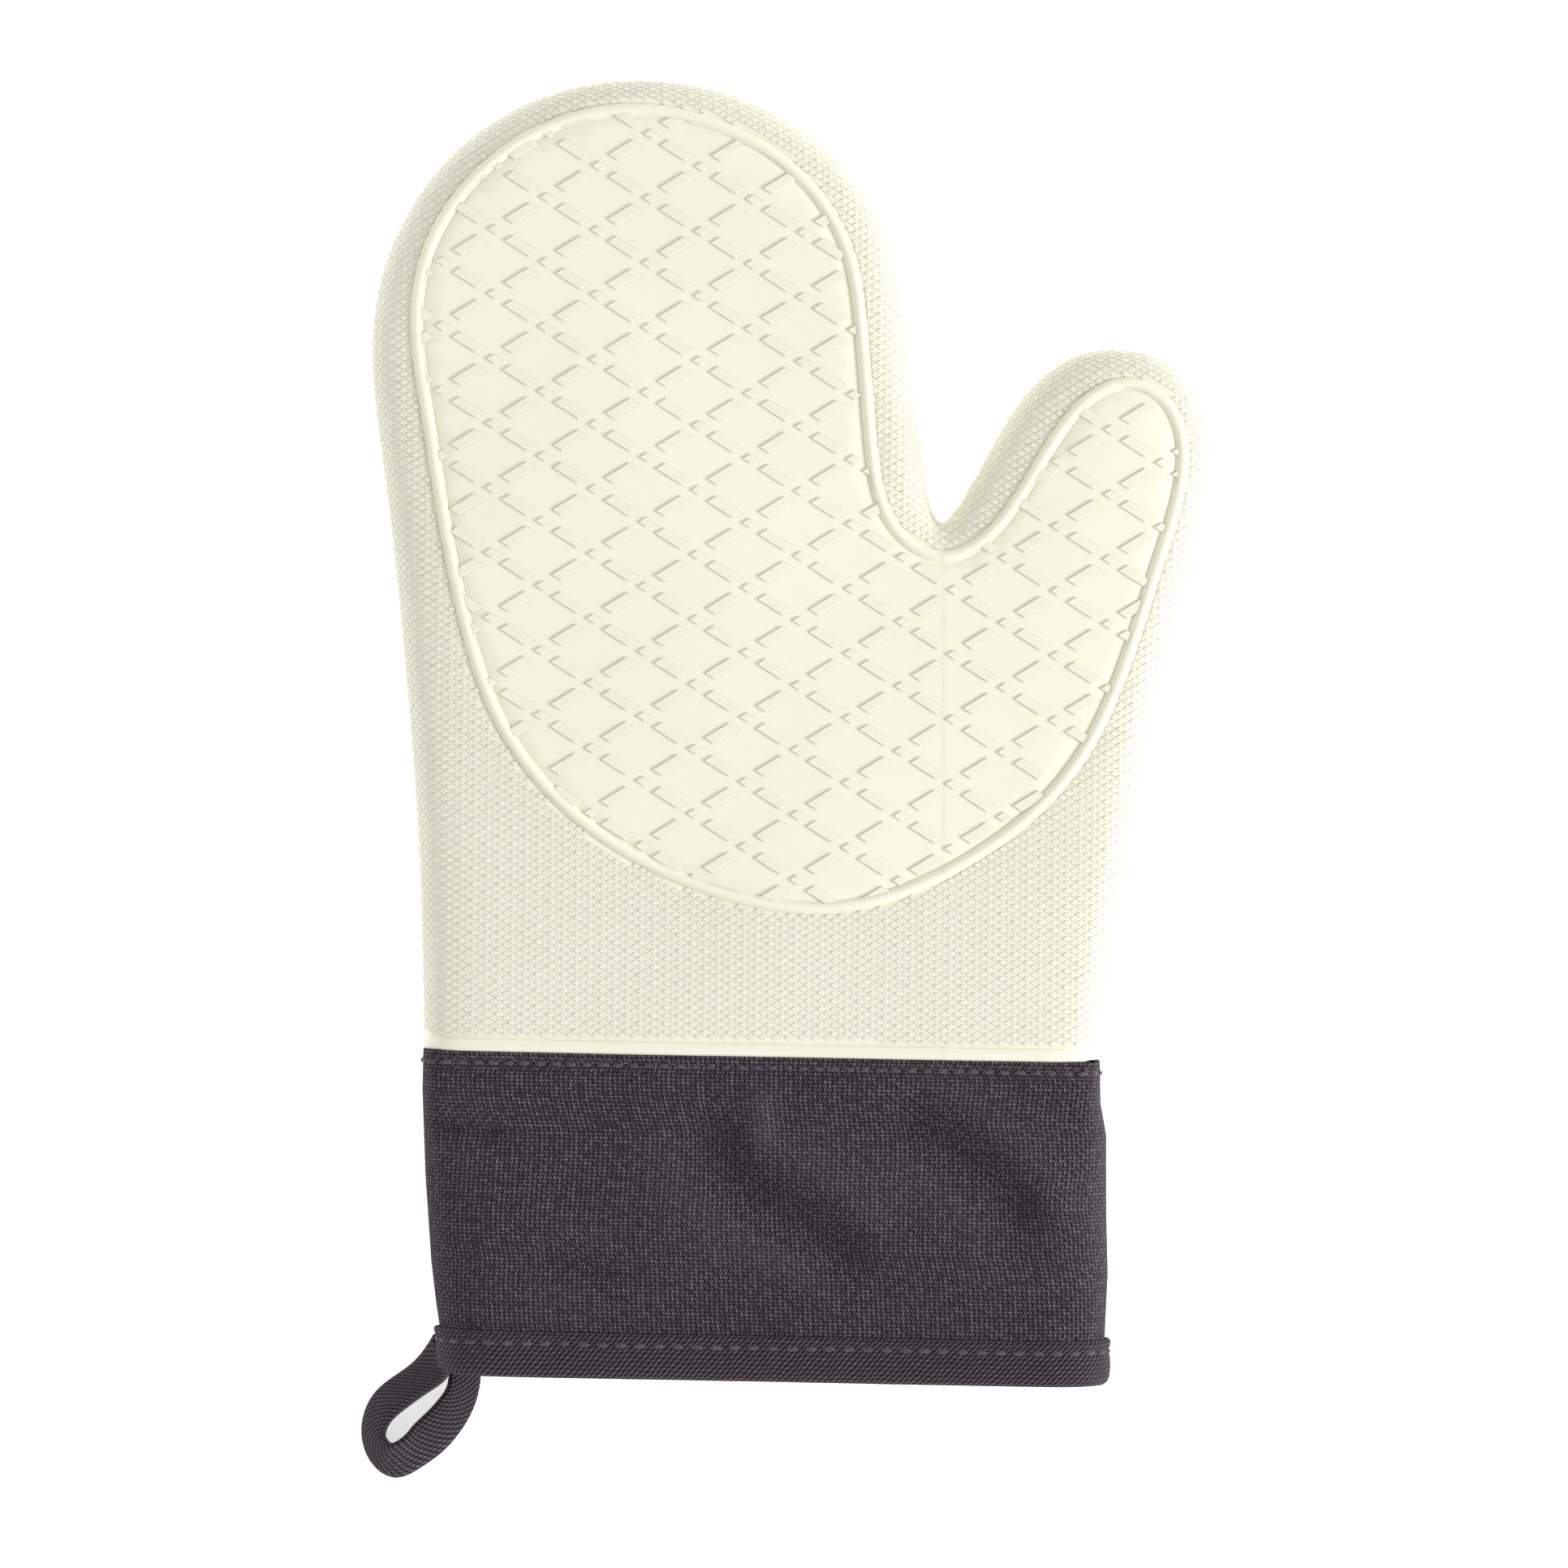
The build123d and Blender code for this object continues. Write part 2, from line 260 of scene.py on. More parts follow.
# %% Rim and hem band
HEM_STEPS = [-0.3, 0.0, 0.3, 2.3, 2.6, 2.8, 3.05, 3.25]
HEM_LIFT = [-2.6, 0.15, 0.45, 0.45, 0.2, -0.3, -0.3, 0.0]
RIM_STEPS = [-1.85, -1.5, -1.2, -0.7, 0.0, 0.7, 1.2, 1.5, 1.85]


def rim_distance(plan):
    """Signed distance from the rim's centre line, positive outside the grip panel."""
    i = nearest(rim_tree, plan)
    return i, np.einsum("ij,ij->i", plan - rim_line[i], rim_out[i])


def own_lift(plan):
    """The skin's own relief: the rim and the band along the hem."""
    _, b = rim_distance(plan)
    rise = np.sqrt(np.clip(1 - (b / BEAD_HALF) ** 2, 0, None)) * BEAD_RISE
    rise -= 0.3 * np.exp(-((np.abs(b) - 1.5) / 0.2) ** 2)
    return rise + np.interp(above_hem(plan), HEM_STEPS, HEM_LIFT)


print("the rim rises", round(float(own_lift(rim_line[::50]).max()), 2), "mm")

# %% [markdown]
# ## The skin's own mesh
# The palm is triangulated between the shoulder line, the two feet of the rim and the lines of the
# hem band, so the rim and the band have crisp edges without a dense mesh everywhere. The wall is a
# strip of quads below it. First come the places of its columns along the shoulder line: the
# crotch and the ends of each hem line must fall on a column.

# %% Columns of the wall
def above_y(x, distance):
    """Height on the plan of a point this far above the hem."""
    return HEM_Y + x * tan(HEM_TURN) + distance / cos(HEM_TURN)


def column_places(form, step, lowest, marks):
    """Places along the shoulder line for the mesh columns, with the crotch and the hem marks."""
    run = np.concatenate([[0], np.cumsum(np.linalg.norm(np.diff(form.line, axis=0), axis=1))])
    high = above_hem(form.line)
    turn = len(run) // 2
    ends = []
    for mark in [lowest, *marks]:
        ends.append(np.interp(mark, high[:turn], run[:turn]))
        ends.append(np.interp(-mark, -high[turn:], run[turn:]))
    first, last = ends[0], ends[1]
    middle = run[int(np.argmax(form.bend))]
    places = [first, last, middle, *ends[2:]]
    for a, b in ((first, middle), (middle, last)):
        places += list(np.linspace(a, b, int((b - a) / step) + 1))
    places = np.array(sorted(places))
    fixed = np.array(ends + [middle])
    keep = []
    for s in places:
        near = np.abs(fixed - s)
        if near.min() < 1e-6 or near.min() > 0.4 * step:
            if not keep or s - keep[-1] > 1e-6:
                keep.append(s)
    return run, np.array(keep), middle


print("columns on the skin:", len(column_places(skin_form, 1.6, -FLANGE, HEM_STEPS)[1]))

# %% [markdown]
# The hand is made in two sides, fingers and thumb, that part along a straight line below the
# crotch. The palm's points are the shoulder line, the rim, the hem lines, the parting line and a
# loose triangular grid between them.

# %% Half of a shell as a flat pattern
def half_shell(form, step, fill, lowest, marks=(), rims=(), walls=9):
    """Pattern points, faces and the side (0 fingers, 1 thumb) of each face of the palm half."""
    run, places, middle = column_places(form, step, lowest, marks)
    ring = np.column_stack([np.interp(places, run, form.line[:, k]) for k in (0, 1)])
    out = np.column_stack([np.interp(places, run, form.out[:, k]) for k in (0, 1)])
    out /= np.linalg.norm(out, axis=1)[:, None]
    split = int(np.argmin(np.abs(places - middle)))
    points = [tuple(p) for p in ring]
    links = [(i, i + 1) for i in range(len(ring) - 1)]

    def strand(line, closed=False, first=None, last=None):
        start = len(points)
        points.extend(tuple(p) for p in line)
        ids = list(range(start, len(points)))
        if first is not None:
            ids = [first, *ids, last]
        if closed:
            ids.append(ids[0])
        links.extend(zip(ids, ids[1:]))

    high = above_hem(ring)
    for mark in [lowest, *marks]:
        left = int(np.argmin(np.abs(high[:len(ring) // 2] - mark)))
        right = len(ring) // 2 + int(np.argmin(np.abs(high[len(ring) // 2:] - mark)))
        count = int(np.linalg.norm(ring[right] - ring[left]) / fill)
        share = np.linspace(0, 1, count + 1)[1:-1, None]
        strand(ring[left] * (1 - share) + ring[right] * share, False, left, right)
    for offset in rims:
        strand((rim_line + rim_out * offset)[::3], closed=True)
    bottom = ring[split] * [1, 0] + [0, above_y(SPLIT_X, lowest)]
    share = np.linspace(0, 1, int((ring[split][1] - bottom[1]) / fill) + 1)[1:, None]
    strand_ids = len(points)
    points.extend(tuple(p) for p in ring[split] * (1 - share) + bottom * share)
    chain = [split, *range(strand_ids, len(points))]
    links.extend(zip(chain, chain[1:]))

    low, top = ring.min(0), ring.max(0)
    rows = np.arange(low[1], top[1], fill * 0.866)
    across = np.arange(low[0], top[0], fill)
    grid = np.array([(x + (k % 2) * fill / 2, y) for k, y in enumerate(rows) for x in across])
    _, w = form.feet(grid)
    good = (w < -0.55 * fill) & (np.abs(grid[:, 0] - SPLIT_X) > 0.35 * fill)
    hem = above_hem(grid)
    for mark in [lowest, *marks]:
        good &= np.abs(hem - mark) > 0.4 * fill
    good &= hem > lowest
    if len(rims):
        _, b = rim_distance(grid)
        good &= (np.abs(b) > 1.85 + 0.4 * fill)
    points.extend(tuple(p) for p in grid[good])

    made = delaunay_2d_cdt([Vector(p) for p in points], links, [], 1, 1e-4)
    plan = np.array([tuple(v) for v in made[0]])
    faces = [tuple(f) for f in made[2]]
    home = {k: i for i, olds in enumerate(made[3]) for k in olds}
    side = [int(plan[list(f), 0].mean() > SPLIT_X) for f in faces]

    rows_down = np.append(np.linspace(0, form.run[-2], walls + 1)[1:], form.run[-1])
    line_i = nearest(form.tree, ring)
    above = [home[i] for i in range(len(ring))]
    extra = []
    for a in rows_down:
        start = len(plan) + sum(len(e) for e in extra)
        extra.append(np.column_stack([ring, out, np.full(len(ring), a), line_i]))
        below = list(range(start, start + len(ring)))
        for i in range(len(ring) - 1):
            faces.append((above[i], below[i], below[i + 1], above[i + 1])[::-1])
            side.append(int(i >= split))
        above = below
    return plan, np.vstack(extra), faces, np.array(side)


skin_parts = half_shell(skin_form, 1.6, 3.4, -FLANGE, HEM_STEPS, RIM_STEPS)
print("pattern of", len(skin_parts[0]), "points and", len(skin_parts[2]), "faces")

# %% [markdown]
# The pattern is laid on the form, and small helpers turn points and faces into a mesh: one turns
# the faces outwards, one gives a surface its thickness, one adds the back as a mirror image.

# %% From the pattern to a mesh
def shell_points(form, plan, extra, lift_of):
    """The palm half's points in space."""
    face = form.lay(plan, lift_of(plan))
    out, a, i = extra[:, 2:4], extra[:, 4], extra[:, 5].astype(int)
    reach, z, lean = (np.interp(a, form.run, part) for part in form.profile)
    foot = extra[:, 0:2] + out * reach[:, None]
    lift = lift_of(foot)
    normal = np.column_stack([out * np.cos(lean)[:, None], np.sin(lean)])
    return np.vstack([face, np.column_stack([foot, z]) + normal * lift[:, None]])


def mesh_piece(name, points, faces, merge=0.0):
    """A mesh object from points in millimetres, with smooth shading."""
    mesh = bpy.data.meshes.new(name)
    mesh.from_pydata((np.asarray(points) * MM).tolist(), [], faces)
    work = bmesh.new()
    work.from_mesh(mesh)
    if merge:
        bmesh.ops.remove_doubles(work, verts=work.verts, dist=merge * MM)
    loose = [v for v in work.verts if not v.link_faces]
    bmesh.ops.delete(work, geom=loose, context="VERTS")
    work.to_mesh(mesh)
    work.free()
    mesh.shade_smooth()
    obj = bpy.data.objects.new(name, mesh)
    bpy.context.scene.collection.objects.link(obj)
    return obj


def outward(obj):
    """Turns the faces of closed shells outwards."""
    work = bmesh.new()
    work.from_mesh(obj.data)
    bmesh.ops.recalc_face_normals(work, faces=work.faces)
    work.to_mesh(obj.data)
    work.free()


def thicken(obj, thickness):
    """Gives a surface its thickness inwards and keeps the result as a plain mesh."""
    modifier = obj.modifiers.new("thickness", "SOLIDIFY")
    modifier.thickness = thickness * MM
    modifier.offset = -1.0
    modifier.use_even_offset = False
    evaluated = obj.evaluated_get(bpy.context.evaluated_depsgraph_get())
    mesh = bpy.data.meshes.new_from_object(evaluated)
    obj.modifiers.clear()
    old = obj.data
    obj.data = mesh
    bpy.data.meshes.remove(old)
    outward(obj)
    return obj


def both_halves(points, faces):
    """The palm half and its mirror image for the back."""
    back = points * [1, 1, -1] + [0, 0, 2 * MID_Z]
    count = len(points)
    return np.vstack([points, back]), faces + [tuple(i + count for i in f[::-1]) for f in faces]


skin_points = shell_points(skin_form, skin_parts[0], skin_parts[1], own_lift)
print("palm half:", len(skin_points), "points,", len(skin_parts[2]), "faces")

# %% [markdown]
# ## The moulded pattern
# The grip panel carries a lattice of short flat bars with a small lozenge at each crossing, and the
# palm's heel and the walls carry diamonds an eighth of that size, every fourth of them higher.
# All are flat-topped with crisp edges, so they are real relief here. One shape of each kind is
# repeated over a flat sheet of points by Geometry Nodes; the sheet is then trimmed at the rim and
# the hem and laid on the form.

# %% A node group that repeats one shape over points
def repeat_group():
    """Geometry Nodes: the shape on every point, turned by the point's own 'turn'."""
    group = bpy.data.node_groups.new("repeat_shape", "GeometryNodeTree")
    face = group.interface
    for name, kind in (
        ("Points", "Geometry"), ("Shape", "Object"), ("Size", "Vector"),
        ("Uneven", "Float"), ("Seed", "Int"), ("Finish", "Material"),
    ):
        face.new_socket(name, in_out="INPUT", socket_type="NodeSocket" + kind)
    face.new_socket("Mesh", in_out="OUTPUT", socket_type="NodeSocketGeometry")
    nodes, link = group.nodes, group.links.new
    source = nodes.new("NodeGroupInput")
    shape = nodes.new("GeometryNodeObjectInfo")
    turn = nodes.new("GeometryNodeInputNamedAttribute")
    turn.data_type = "FLOAT_VECTOR"
    turn.inputs["Name"].default_value = "turn"
    euler = nodes.new("FunctionNodeEulerToRotation")
    least, most = nodes.new("ShaderNodeMath"), nodes.new("ShaderNodeMath")
    for limit, operation in ((least, "SUBTRACT"), (most, "ADD")):
        limit.operation = operation
        limit.inputs[0].default_value = 1.0
    pick = nodes.new("FunctionNodeRandomValue")
    pick.data_type = "FLOAT"
    sized = nodes.new("ShaderNodeVectorMath")
    sized.operation = "SCALE"
    put = nodes.new("GeometryNodeInstanceOnPoints")
    real = nodes.new("GeometryNodeRealizeInstances")
    finish = nodes.new("GeometryNodeSetMaterial")
    result = nodes.new("NodeGroupOutput")
    link(source.outputs["Shape"], shape.inputs["Object"])
    link(turn.outputs["Attribute"], euler.inputs[0])
    link(source.outputs["Uneven"], least.inputs[1])
    link(source.outputs["Uneven"], most.inputs[1])
    floats = [s for s in pick.inputs if s.type == "VALUE" and s.name in ("Min", "Max")]
    link(least.outputs[0], floats[0])
    link(most.outputs[0], floats[1])
    link(source.outputs["Seed"], pick.inputs["Seed"])
    value = [s for s in pick.outputs if s.type == "VALUE"][0]
    link(source.outputs["Size"], sized.inputs[0])
    link(value, sized.inputs["Scale"])
    link(source.outputs["Points"], put.inputs["Points"])
    link(shape.outputs["Geometry"], put.inputs["Instance"])
    link(euler.outputs[0], put.inputs["Rotation"])
    link(sized.outputs[0], put.inputs["Scale"])
    link(put.outputs["Instances"], real.inputs["Geometry"])
    link(real.outputs["Geometry"], finish.inputs["Geometry"])
    link(source.outputs["Finish"], finish.inputs["Material"])
    link(finish.outputs["Geometry"], result.inputs["Mesh"])
    return group


REPEAT = repeat_group()
print("node group", REPEAT.name, "with", len(REPEAT.nodes), "nodes")

# %% [markdown]
# The group is used through one helper. It puts the shape on the points, lets the nodes run, and
# reads the result back as plain points and faces, so nothing live is left in the scene.

# %% Using the node group
def repeated(shape, homes, turns=None, size=(1, 1, 1), uneven=0.0, seed=1, finish=None):
    """Points (mm) and faces of the shape repeated over homes (mm), kept as a plain mesh."""
    mesh = bpy.data.meshes.new("homes")
    mesh.from_pydata((np.asarray(homes) * MM).tolist(), [], [])
    holder = bpy.data.objects.new("homes", mesh)
    bpy.context.scene.collection.objects.link(holder)
    turn = mesh.attributes.new("turn", "FLOAT_VECTOR", "POINT")
    turn.data.foreach_set("vector", np.asarray(
        np.zeros((len(homes), 3)) if turns is None else turns, np.float32).ravel())
    modifier = holder.modifiers.new("repeat", "NODES")
    values = {"Shape": shape, "Size": size, "Uneven": uneven, "Seed": seed, "Finish": finish}
    modifier.node_group = REPEAT
    for item in REPEAT.interface.items_tree:
        if item.in_out == "INPUT" and item.name in values and values[item.name] is not None:
            modifier[item.identifier] = values[item.name]
    evaluated = holder.evaluated_get(bpy.context.evaluated_depsgraph_get())
    made = bpy.data.meshes.new_from_object(evaluated)
    co = np.zeros(len(made.vertices) * 3)
    made.vertices.foreach_get("co", co)
    faces = [tuple(p.vertices) for p in made.polygons]
    for thing in (holder, shape):
        data = thing.data
        bpy.data.objects.remove(thing)
        bpy.data.meshes.remove(data)
    bpy.data.meshes.remove(made)
    return co.reshape(-1, 3) / MM, faces


# %% [markdown]
# A relief block is a small raised plate: its top is a grid, drawn in a little at the rim for the
# chamfer that lets it leave the mould, and its sides go down just under the skin.

# %% One relief block
def relief_block(name, across, up, cols, rows, chamfer, height, root):
    """A plate spanned by two plan vectors, with a gridded top and leaning sides."""
    across, up = np.array(across, float), np.array(up, float)
    cu, cv = chamfer / np.linalg.norm(across), chamfer / np.linalg.norm(up)
    us = np.linspace(-0.5 + cu, 0.5 - cu, cols + 1)
    vs = np.linspace(-0.5 + cv, 0.5 - cv, rows + 1)
    points, faces = [], []
    for v in vs:
        for u in us:
            points.append((*(across * u + up * v), height))
    for r in range(rows):
        for c in range(cols):
            i = r * (cols + 1) + c
            faces.append((i, i + 1, i + cols + 2, i + cols + 1))
    if cols == rows == 1:
        points.append((0.0, 0.0, height))
        faces = [(0, 1, 4), (1, 3, 4), (3, 2, 4), (2, 0, 4)]
    loop = [c for c in range(cols + 1)]
    loop += [r * (cols + 1) + cols for r in range(1, rows + 1)]
    loop += [rows * (cols + 1) + c for c in range(cols - 1, -1, -1)]
    loop += [r * (cols + 1) for r in range(rows - 1, 0, -1)]
    start = len(points)
    for i in loop:
        r, c = divmod(i, cols + 1)
        u = us[c] + (cu if c == cols else -cu if c == 0 else 0)
        v = vs[r] + (cv if r == rows else -cv if r == 0 else 0)
        points.append((*(across * u + up * v), -root))
    count = len(loop)
    for k in range(count):
        n = (k + 1) % count
        faces.append((loop[k], start + k, start + n, loop[n]))
    return mesh_piece(name, points, faces), len(points)


# %% [markdown]
# The lattice leans a little: A runs across two columns of the panel and B down one row. Its
# lozenges have the sides E1 and E2.

# %% The lattice
A = np.array([22.01, -0.23])
B = np.array([-0.167, -13.82])
E1, E2 = (A - B) / 2, (A + B) / 2
START = np.array([-28.5, 125.0])


def lattice(step_a, step_b, low, high):
    """Points of a lozenge lattice that cover a box."""
    e1, e2 = (step_a - step_b) / 2, (step_a + step_b) / 2
    turn = np.linalg.inv(np.column_stack([e1, e2]))
    corners = np.array([(x, y) for x in (low[0], high[0]) for y in (low[1], high[1])]) - START
    ij = corners @ turn.T
    i0, j0 = np.floor(ij.min(0)).astype(int)
    i1, j1 = np.ceil(ij.max(0)).astype(int)
    i, j = np.meshgrid(np.arange(i0, i1 + 1), np.arange(j0, j1 + 1))
    places = START + i.ravel()[:, None] * e1 + j.ravel()[:, None] * e2
    inside = ((places > low) & (places < high)).all(1)
    return places[inside]


print("lozenge sides", np.round(np.linalg.norm([E1, E2], axis=1), 2), "mm")

# %% [markdown]
# Where a block meets the rim or the hem band it is cut off along it: the points beyond are drawn
# back to the line, which leaves a clean edge. In the crotch a block that would be stretched to
# 1.6 times its length is left out.

# %% Trimming and laying the relief
def lay_relief(form, shape, count, homes, inside_rim, limit):
    """The repeated shape trimmed at the rim and hem, and laid on the form."""
    flat, faces = repeated(shape, np.column_stack([homes, np.zeros(len(homes))]))
    plan, lift = flat[:, :2].copy(), flat[:, 2]
    i, b = rim_distance(plan)
    over = np.clip(b + limit, 0, None) if inside_rim else np.clip(b - limit, None, 0)
    plan -= rim_out[i] * over[:, None]
    if not inside_rim:
        plan[:, 1] += np.clip(HEM_CLEAR - above_hem(plan), 0, None)
    points = form.lay(plan, lift, low=0.12)
    owner = np.arange(len(points)) // count
    grouped = points.reshape(-1, count, 3)
    size = np.linalg.norm(grouped.max(1) - grouped.min(1), axis=1)
    flat_size = np.linalg.norm(np.ptp(flat.reshape(-1, count, 3)[0], axis=0))
    kept = size < 1.6 * flat_size
    faces = [f for f in faces if kept[owner[f[0]]]]
    side = (homes[:, 0] > SPLIT_X).astype(int)
    foot, w = form.feet(homes)
    side = np.where(w > 0, (foot >= crotch).astype(int), side)
    return points, faces, side[owner]


low, high = edge_line.min(0) - 18, edge_line.max(0) + 18
dots = lattice(A, B, low, high)
grip = []
for kind, shift, across, up, cols, rows in (
    ("lozenge", 0 * E1, E1 * 0.174, E2 * 0.174, 2, 2),
    ("bar_up", E1 * 0.5025, E1 * 0.505, E2 * 0.20, 8, 2),
    ("bar_down", E2 * 0.5025, E1 * 0.20, E2 * 0.505, 2, 8),
):
    homes = dots + shift
    _, b = rim_distance(homes)
    reach = 1.5 if kind != "lozenge" else -0.6
    homes = homes[b < reach]
    shape, count = relief_block(kind, across, up, cols, rows, 0.26, 0.54, 0.3)
    grip.append(lay_relief(skin_form, shape, count, homes, True, 1.05))
    print(kind, len(homes))

small = lattice(A / 8, B / 8, low, high)
_, b = rim_distance(small)
small = small[(b > 1.7) & (above_hem(small) > HEM_CLEAR + 0.2)]
i, w = skin_form.feet(small)
near_ring = np.linalg.norm(small - skin_form.line[i], axis=1) < np.abs(w) + 0.6
down = skin_form.down(i, np.clip(w, 0, None))
small = small[near_ring & (down < skin_form.run[-1] - 0.5) | (w < 0)]
steps = (small - START) @ np.linalg.inv(np.column_stack([E1, E2]) / 4).T
fourth = np.abs(steps - np.round(steps)).max(1) < 0.1
for name, homes, height in (
    ("tall_diamond", small[fourth], 0.34),
    ("low_diamond", small[~fourth], 0.22),
):
    shape, count = relief_block(name, E1 / 8 * 0.8, E2 / 8 * 0.8, 1, 1, 0.16, height, 0.22)
    grip.append(lay_relief(skin_form, shape, count, homes, False, 1.3))
    print(name, len(homes))

# %% [markdown]
# ## Finishes
# The cream silicone is satin and slightly see-through at thin edges, with a faint grain from the
# mould. The canvas is a dark plum plain weave with pale specks, the binding a twill tape.

# %% Node helpers
def srgb(r, g, b):
    """Linear colour from screen values of 0 to 255."""
    return tuple(((v / 255 + 0.055) / 1.055) ** 2.4 if v > 10 else v / 3294 for v in (r, g, b)) + (1,)


class Finish:
    """A material under construction."""

    def __init__(self, name, rough, specular=0.5):
        self.material = bpy.data.materials.new(name)
        self.material.use_nodes = True
        self.nodes = self.material.node_tree.nodes
        self.link = self.material.node_tree.links.new
        self.shader = self.nodes["Principled BSDF"]
        self.shader.inputs["Roughness"].default_value = rough
        self.shader.inputs["Specular IOR Level"].default_value = specular
        self.where = self.nodes.new("ShaderNodeTexCoord")

    def maths(self, kind, a, b=0.0, c=0.0):
        node = self.nodes.new("ShaderNodeMath")
        node.operation = kind
        for socket, value in zip(node.inputs, (a, b, c)):
            if isinstance(value, (int, float)):
                socket.default_value = value
            else:
                self.link(value, socket)
        return node.outputs[0]

    def noise(self, scale, detail=3.0, rough=0.6, space="Object"):
        node = self.nodes.new("ShaderNodeTexNoise")
        node.inputs["Scale"].default_value = scale
        node.inputs["Detail"].default_value = detail
        node.inputs["Roughness"].default_value = rough
        self.link(self.where.outputs[space], node.inputs["Vector"])
        return node.outputs["Fac"]

    def mix(self, factor, a, b):
        node = self.nodes.new("ShaderNodeMix")
        node.data_type = "RGBA"
        sockets = [s for s in node.inputs if s.type == "RGBA"]
        for socket, value in zip(sockets, (a, b)):
            if isinstance(value, tuple):
                socket.default_value = value
            else:
                self.link(value, socket)
        self.link(factor, node.inputs[0])
        return [s for s in node.outputs if s.type == "RGBA"][0]

    def ramp(self, value, low, high):
        node = self.nodes.new("ShaderNodeMapRange")
        node.inputs["From Min"].default_value = low
        node.inputs["From Max"].default_value = high
        self.link(value, node.inputs["Value"])
        return node.outputs["Result"]

    def bump(self, height, distance, strength=1.0):
        node = self.nodes.new("ShaderNodeBump")
        node.inputs["Distance"].default_value = distance * MM
        node.inputs["Strength"].default_value = strength
        self.link(height, node.inputs["Height"])
        self.link(node.outputs["Normal"], self.shader.inputs["Normal"])

    def colour(self, value):
        self.link(value, self.shader.inputs["Base Color"])

    def rough(self, value, low, high):
        node = self.nodes.new("ShaderNodeMapRange")
        node.inputs["To Min"].default_value = low
        node.inputs["To Max"].default_value = high
        self.link(value, node.inputs["Value"])
        self.link(node.outputs["Result"], self.shader.inputs["Roughness"])

    def threads(self, pitch_u, pitch_v):
        """Height of a plain weave over the UV map, in 0 to 1."""
        split = self.nodes.new("ShaderNodeSeparateXYZ")
        self.link(self.where.outputs["UV"], split.inputs[0])
        a = self.maths("SINE", self.maths("MULTIPLY", split.outputs[0], pi / (pitch_u * MM)))
        b = self.maths("SINE", self.maths("MULTIPLY", split.outputs[1], pi / (pitch_v * MM)))
        over = self.maths("GREATER_THAN", self.maths("MULTIPLY", a, b), 0.0)
        up, across = self.maths("ABSOLUTE", a), self.maths("ABSOLUTE", b)
        gap = self.maths("SUBTRACT", up, across)
        return self.maths("ADD", across, self.maths("MULTIPLY", gap, over))


# %% [markdown]
# Silicone: warm white with a slight drift in tone, and a fine grain that breaks the highlights.

# %% Silicone
cream = Finish("cream_silicone", 0.46, 0.4)
tone = cream.noise(26, 4)
cream.colour(cream.mix(tone, srgb(236, 234, 212), srgb(245, 243, 224)))
cream.rough(cream.noise(70, 5), 0.38, 0.56)
cream.shader.inputs["Subsurface Weight"].default_value = 0.22
cream.shader.inputs["Subsurface Radius"].default_value = (1.0, 0.75, 0.4)
cream.shader.inputs["Subsurface Scale"].default_value = 0.002
cream.bump(cream.noise(2600, 3, 0.7), 0.03, 0.5)

# %% [markdown]
# Canvas: coarse plain weave of about one millimetre. The raised part of each thread is lighter,
# and pale fibres show as irregular specks. Under this light the modelled folds alone look fainter
# than on the real cuff, so the cloth's own 'fold' attribute tints them, darker in the valleys and
# paler on the ridges. The tint is painted contrast, its strength judged, not a property of the cloth.

# %% Canvas
canvas = Finish("plum_canvas", 0.9, 0.12)
height = canvas.threads(1.05, 0.8)
fibre = canvas.noise(620, 4, 0.8, "UV")
fold = canvas.nodes.new("ShaderNodeAttribute")
fold.attribute_name = "fold"
# Painted shade: the hollows of the weave are near black and the thread tops lighter, on top of the bump
# from the same height.
base = canvas.mix(height, srgb(6, 4, 7), srgb(68, 54, 67))
speck = canvas.ramp(canvas.maths("MULTIPLY", fibre, height), 0.42, 0.56)
base = canvas.mix(canvas.maths("MULTIPLY", speck, 0.65), base, srgb(140, 126, 138))
# Painted shade: the fold attribute darkens the valleys of the folds.
painted_valley_shade = canvas.ramp(fold.outputs["Fac"], 0.2, 4.0)
base = canvas.mix(canvas.maths("MULTIPLY", painted_valley_shade, 0.4), base, srgb(14, 9, 14))
# Painted highlight: the fold attribute lightens the ridges of the folds.
ridge = canvas.ramp(fold.outputs["Fac"], -0.05, -0.9)
base = canvas.mix(canvas.maths("MULTIPLY", ridge, 0.16), base, srgb(128, 116, 127))
canvas.colour(base)
canvas.shader.inputs["Sheen Weight"].default_value = 0.1
canvas.shader.inputs["Sheen Roughness"].default_value = 0.5
canvas.bump(canvas.maths("ADD", height, canvas.maths("MULTIPLY", fibre, 0.5)), 0.7, 1.0)

# %% [markdown]
# Binding: cotton twill tape in the same plum, with diagonal ribs.

# %% Binding tape
tape = Finish("plum_twill", 0.88, 0.14)
split = tape.nodes.new("ShaderNodeSeparateXYZ")
tape.link(tape.where.outputs["UV"], split.inputs[0])
slant = tape.maths("ADD", split.outputs[0], tape.maths("MULTIPLY", split.outputs[1], 0.9))
rib = tape.maths("SINE", tape.maths("MULTIPLY", slant, 2 * pi / (1.25 * MM)))
cross = tape.maths("SINE", tape.maths("MULTIPLY", split.outputs[1], 2 * pi / (0.95 * MM)))
rib = tape.ramp(tape.maths("ADD", rib, tape.maths("MULTIPLY", cross, 0.5)), -1.5, 1.5)
fibre = tape.noise(1100, 4, 0.8, "UV")
# Painted shade: the hollows between the ribs are near black and the rib tops lighter, on top of the bump
# from the same height.
base = tape.mix(rib, srgb(8, 5, 8), srgb(90, 78, 88))
speck = tape.ramp(tape.maths("MULTIPLY", fibre, rib), 0.42, 0.6)
tape.colour(tape.mix(tape.maths("MULTIPLY", speck, 0.6), base, srgb(150, 138, 148)))
tape.shader.inputs["Sheen Weight"].default_value = 0.1
tape.bump(tape.maths("ADD", rib, tape.maths("MULTIPLY", fibre, 0.5)), 0.6, 1.0)

# %% [markdown]
# Thread, lining and wadding. The lining is a pale cotton and the wadding a fluffy off-white.

